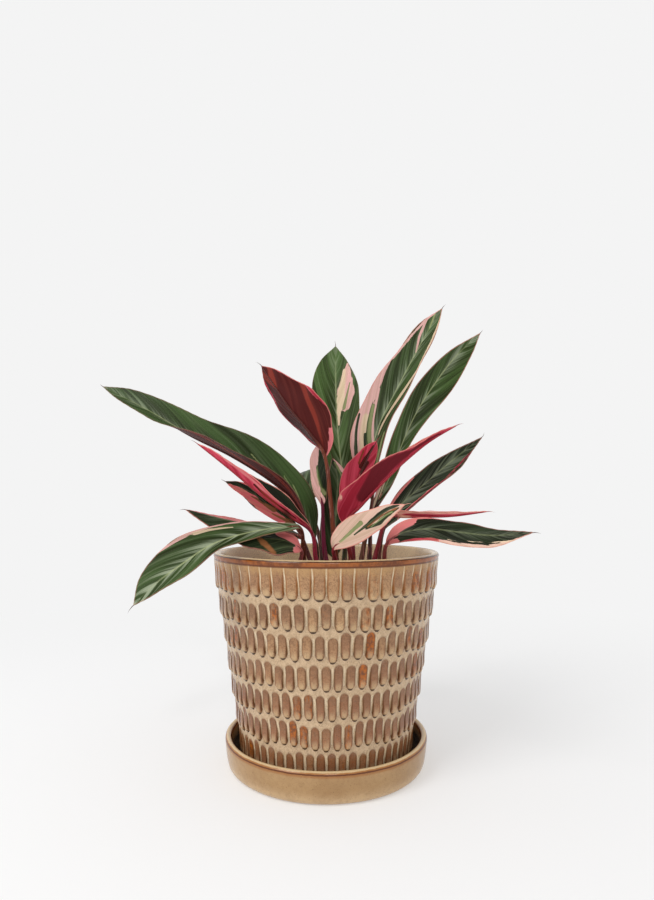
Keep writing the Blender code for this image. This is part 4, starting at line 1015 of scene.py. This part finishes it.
# Pale grey feathering along the midrib and veins: partly the leaf's own feathering, partly a painted sheen.
sheen_and_feather_mask = (feather * 0.5 + streak * 0.5 + by_midrib * 0.08).ease(0.52, 0.66)
green = (silver_and_sheen * sheen_and_feather_mask * (0.2 + 0.55 * by_midrib)).blend(green, tint(166, 174, 148))
green = shade.ease(1.0, 2.0).blend(green, feather.blend(tint(104, 114, 70), tint(156, 158, 112)))
green = shade.ease(0.0, -1.0).blend(green, feather.blend(tint(104, 64, 30), tint(160, 104, 66)))
cream = feather.blend(tint(214, 194, 162), tint(200, 172, 146))
rosy = feather.blend(tint(214, 174, 166), tint(196, 144, 140))
rose = feather.blend(tint(208, 122, 120), tint(184, 92, 92))
crimson = feather.blend(tint(184, 50, 68), tint(144, 34, 48))
light = tone.ease(0.0, 1.0).blend(cream, rosy)
light = tone.ease(1.0, 2.0).blend(light, rose)
light = tone.ease(2.0, 3.0).blend(light, crimson)
light = tone.ease(3.0, 4.0).blend(light, tint(74, 26, 34))
light = (streak.ease(0.52, 0.4) * 0.25).blend(light, tint(150, 132, 92))
skin = leaf_top.marked(green, light, tint(214, 140, 126))
rib_light = abs(leaf_top.beside).ease(0.9, 0.3) * leaf_top.along.ease(1.0, 0.7)
skin = (rib_light * (0.12 + 0.3 * shade + 0.3 * silver_and_sheen)).blend(skin, tint(168, 176, 128))
leaf_top.set(Base_Color=skin, Roughness=0.28 + 0.24 * feather, Specular_IOR_Level=0.12)
leaf_top.bump(feather * 0.5 + streak * 0.35 + cells * 0.15, 0.0009, 0.8)

leaf_under = LeafSide("leaf_underside", feather=(12.0, 34.0, 3.0, 2.0, 0.5))
streak, feather = leaf_under.streak, leaf_under.feather
tone, shade = leaf_under.tone, leaf_under.shade
broad = leaf_under.veined(26.0, 60.0, 9.0, 1.0, 0.4)
maroon = (broad + (feather - 0.5) * 0.1).ease(0.53, 0.58).blend(tint(70, 22, 20), tint(118, 44, 34))
maroon = (streak.ease(0.45, 0.75) * 0.2).blend(maroon, tint(134, 66, 56))
maroon = shade.ease(0.0, -1.0).blend(maroon, tint(116, 54, 30))
salmon = feather.blend(tint(226, 180, 154), tint(208, 154, 140))
rosy = feather.blend(tint(206, 122, 124), tint(182, 88, 92))
crimson = feather.ease(0.35, 0.65).blend(tint(146, 34, 50), tint(184, 64, 82))
light = tone.ease(0.6, 1.8).blend(salmon, rosy)
light = tone.ease(2.0, 3.0).blend(light, crimson)
light = tone.ease(3.0, 4.0).blend(light, tint(96, 26, 34))
skin = leaf_under.marked(maroon, light, tint(212, 122, 116))
leaf_under.set(Base_Color=skin, Roughness=0.36 + 0.2 * streak, Specular_IOR_Level=0.06)
leaf_under.bump(feather * 0.5 + streak * 0.5, 0.0007, 0.6)

leaf_stalk = Finish("leaf_stalk")
up_blade = leaf_stalk.drawn("run")[0]
pale, tone = leaf_stalk.drawn("paint")[:2]
stalk_red, stalk_green, stalk_blue = leaf_stalk.drawn("look")
x, y, z = leaf_stalk.parts(leaf_stalk.millimetres())
fibre = leaf_stalk.grain(leaf_stalk.spot(x / 1.3, y / 1.3, z / 18.0), 1.0, 3.0)
skin = leaf_stalk.add("ShaderNodeCombineColor", {}, [stalk_red, stalk_green, stalk_blue])
skin = (fibre.ease(0.44, 0.62) * 0.6).blend(skin, tint(40, 14, 16))
skin = (fibre.ease(0.56, 0.7) * 0.5).blend(skin, tint(196, 128, 116))
rib = tone.ease(1.0, 3.0).blend(tint(188, 132, 112), tint(146, 36, 48))
rib = pale.ease(-0.5, 0.5).blend(tint(74, 30, 24), rib)
skin = up_blade.ease(0.02, 0.12).blend(skin, rib)
leaf_stalk.set(Base_Color=skin, Roughness=0.38, Specular_IOR_Level=0.2)
leaf_stalk.bump(fibre, 0.0005, 0.6)

RED_LEAVES = ("leaf_maroon_upright", "leaf_magenta", "leaf_small_red", "leaf_pink_left", "leaf_thin_right")
PALE_LEAVES = ("leaf_cream_front", "leaf_coral_left", "leaf_small_cream")
for seed, (name, leaf) in enumerate(LEAVES.items()):
    grown = grow_leaf(name + "_grown", leaf, seed)
    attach(grown, "root")
    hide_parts(name)
    if name in RED_LEAVES:
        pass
    elif name in PALE_LEAVES:
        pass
    else:
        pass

# The studio is a wide pale floor under a white sky that dims overhead, with a large soft light at the upper
# left, a small one in front, and a camera level with the foot of the leaves. Near the plant the floor glows
# a little, a painted glow that lightens its shadows, and far off it glows evenly as a plain backdrop.
FLOOR_SIDES = 96
FLOOR_RINGS = (0.001, 0.3, 0.8, 2.0, 12.0)
FLOOR_HEIGHT = -0.0003
PLANT_MIDDLE = Vector((0, 0, 0.18))


def floor_place(column, ring):
    radius = FLOOR_RINGS[ring]
    angle = math.tau * (column % FLOOR_SIDES) / FLOOR_SIDES
    return Vector((radius * math.cos(angle), radius * math.sin(angle), FLOOR_HEIGHT))


def grey(light):
    return (light, light, light, 1.0)


floor = formed_sheet("studio_floor", FLOOR_SIDES, len(FLOOR_RINGS) - 1, floor_place)
closed_up(floor, 60)
glowing_floor_finish = Finish("pale_glowing_floor")
x, y, z = glowing_floor_finish.parts(glowing_floor_finish.millimetres())
# Painted glow: near the plant the floor is pale and glows a little, which lightens its shadows; far off it
# is pure glow, an even backdrop.
far = glowing_floor_finish.from_middle(x, y).ease(180.0, 800.0)
glowing_floor_finish.set(Base_Color=far.blend(grey(0.62), grey(0.0)), Emission_Color=far.blend(grey(0.3), grey(0.905)),
          Emission_Strength=1.0, Roughness=0.95, Specular_IOR_Level=0.0)
floor.data.materials.append(glowing_floor_finish.material)


def soft_light(name, place, size, power):
    bpy.ops.object.light_add(type="AREA", location=place)
    lamp = bpy.context.object
    lamp.name = name
    lamp.data.size = size
    lamp.data.energy = power
    lamp.rotation_euler = (PLANT_MIDDLE - Vector(place)).to_track_quat("-Z", "Y").to_euler()


soft_light("key_light", (-1.15, -1.05, 1.6), size=0.9, power=18)
soft_light("front_fill", (0.1, -1.5, 1.2), size=0.2, power=4)


class Sky(Finish):
    """The white air round the studio, whose nodes are added as a finish's are."""

    def __init__(self, name):
        self.world = bpy.data.worlds.new(name)
        self.world.use_nodes = True
        self.tree = self.world.node_tree
        self.shader = self.tree.nodes["Background"]


sky = Sky("studio_air")
height = sky.parts(sky.add("ShaderNodeTexCoord", {}, {}, out="Generated"))[2]
sky.set(Color=height.ease(0.68, 0.9, 0.905, 0.45))
bpy.context.scene.world = sky.world
bpy.context.scene.view_settings.view_transform = "Standard"

bpy.ops.object.camera_add(location=(0, -0.45, 0.194), rotation=(math.radians(90), 0, 0))
camera = bpy.context.object
camera.data.lens = 23.44
camera.data.sensor_width = 36
camera.data.shift_x = 0.0008
camera.data.shift_y = 0.0607
camera.data.clip_start = 0.01
camera.data.clip_end = 20
bpy.context.scene.camera = camera
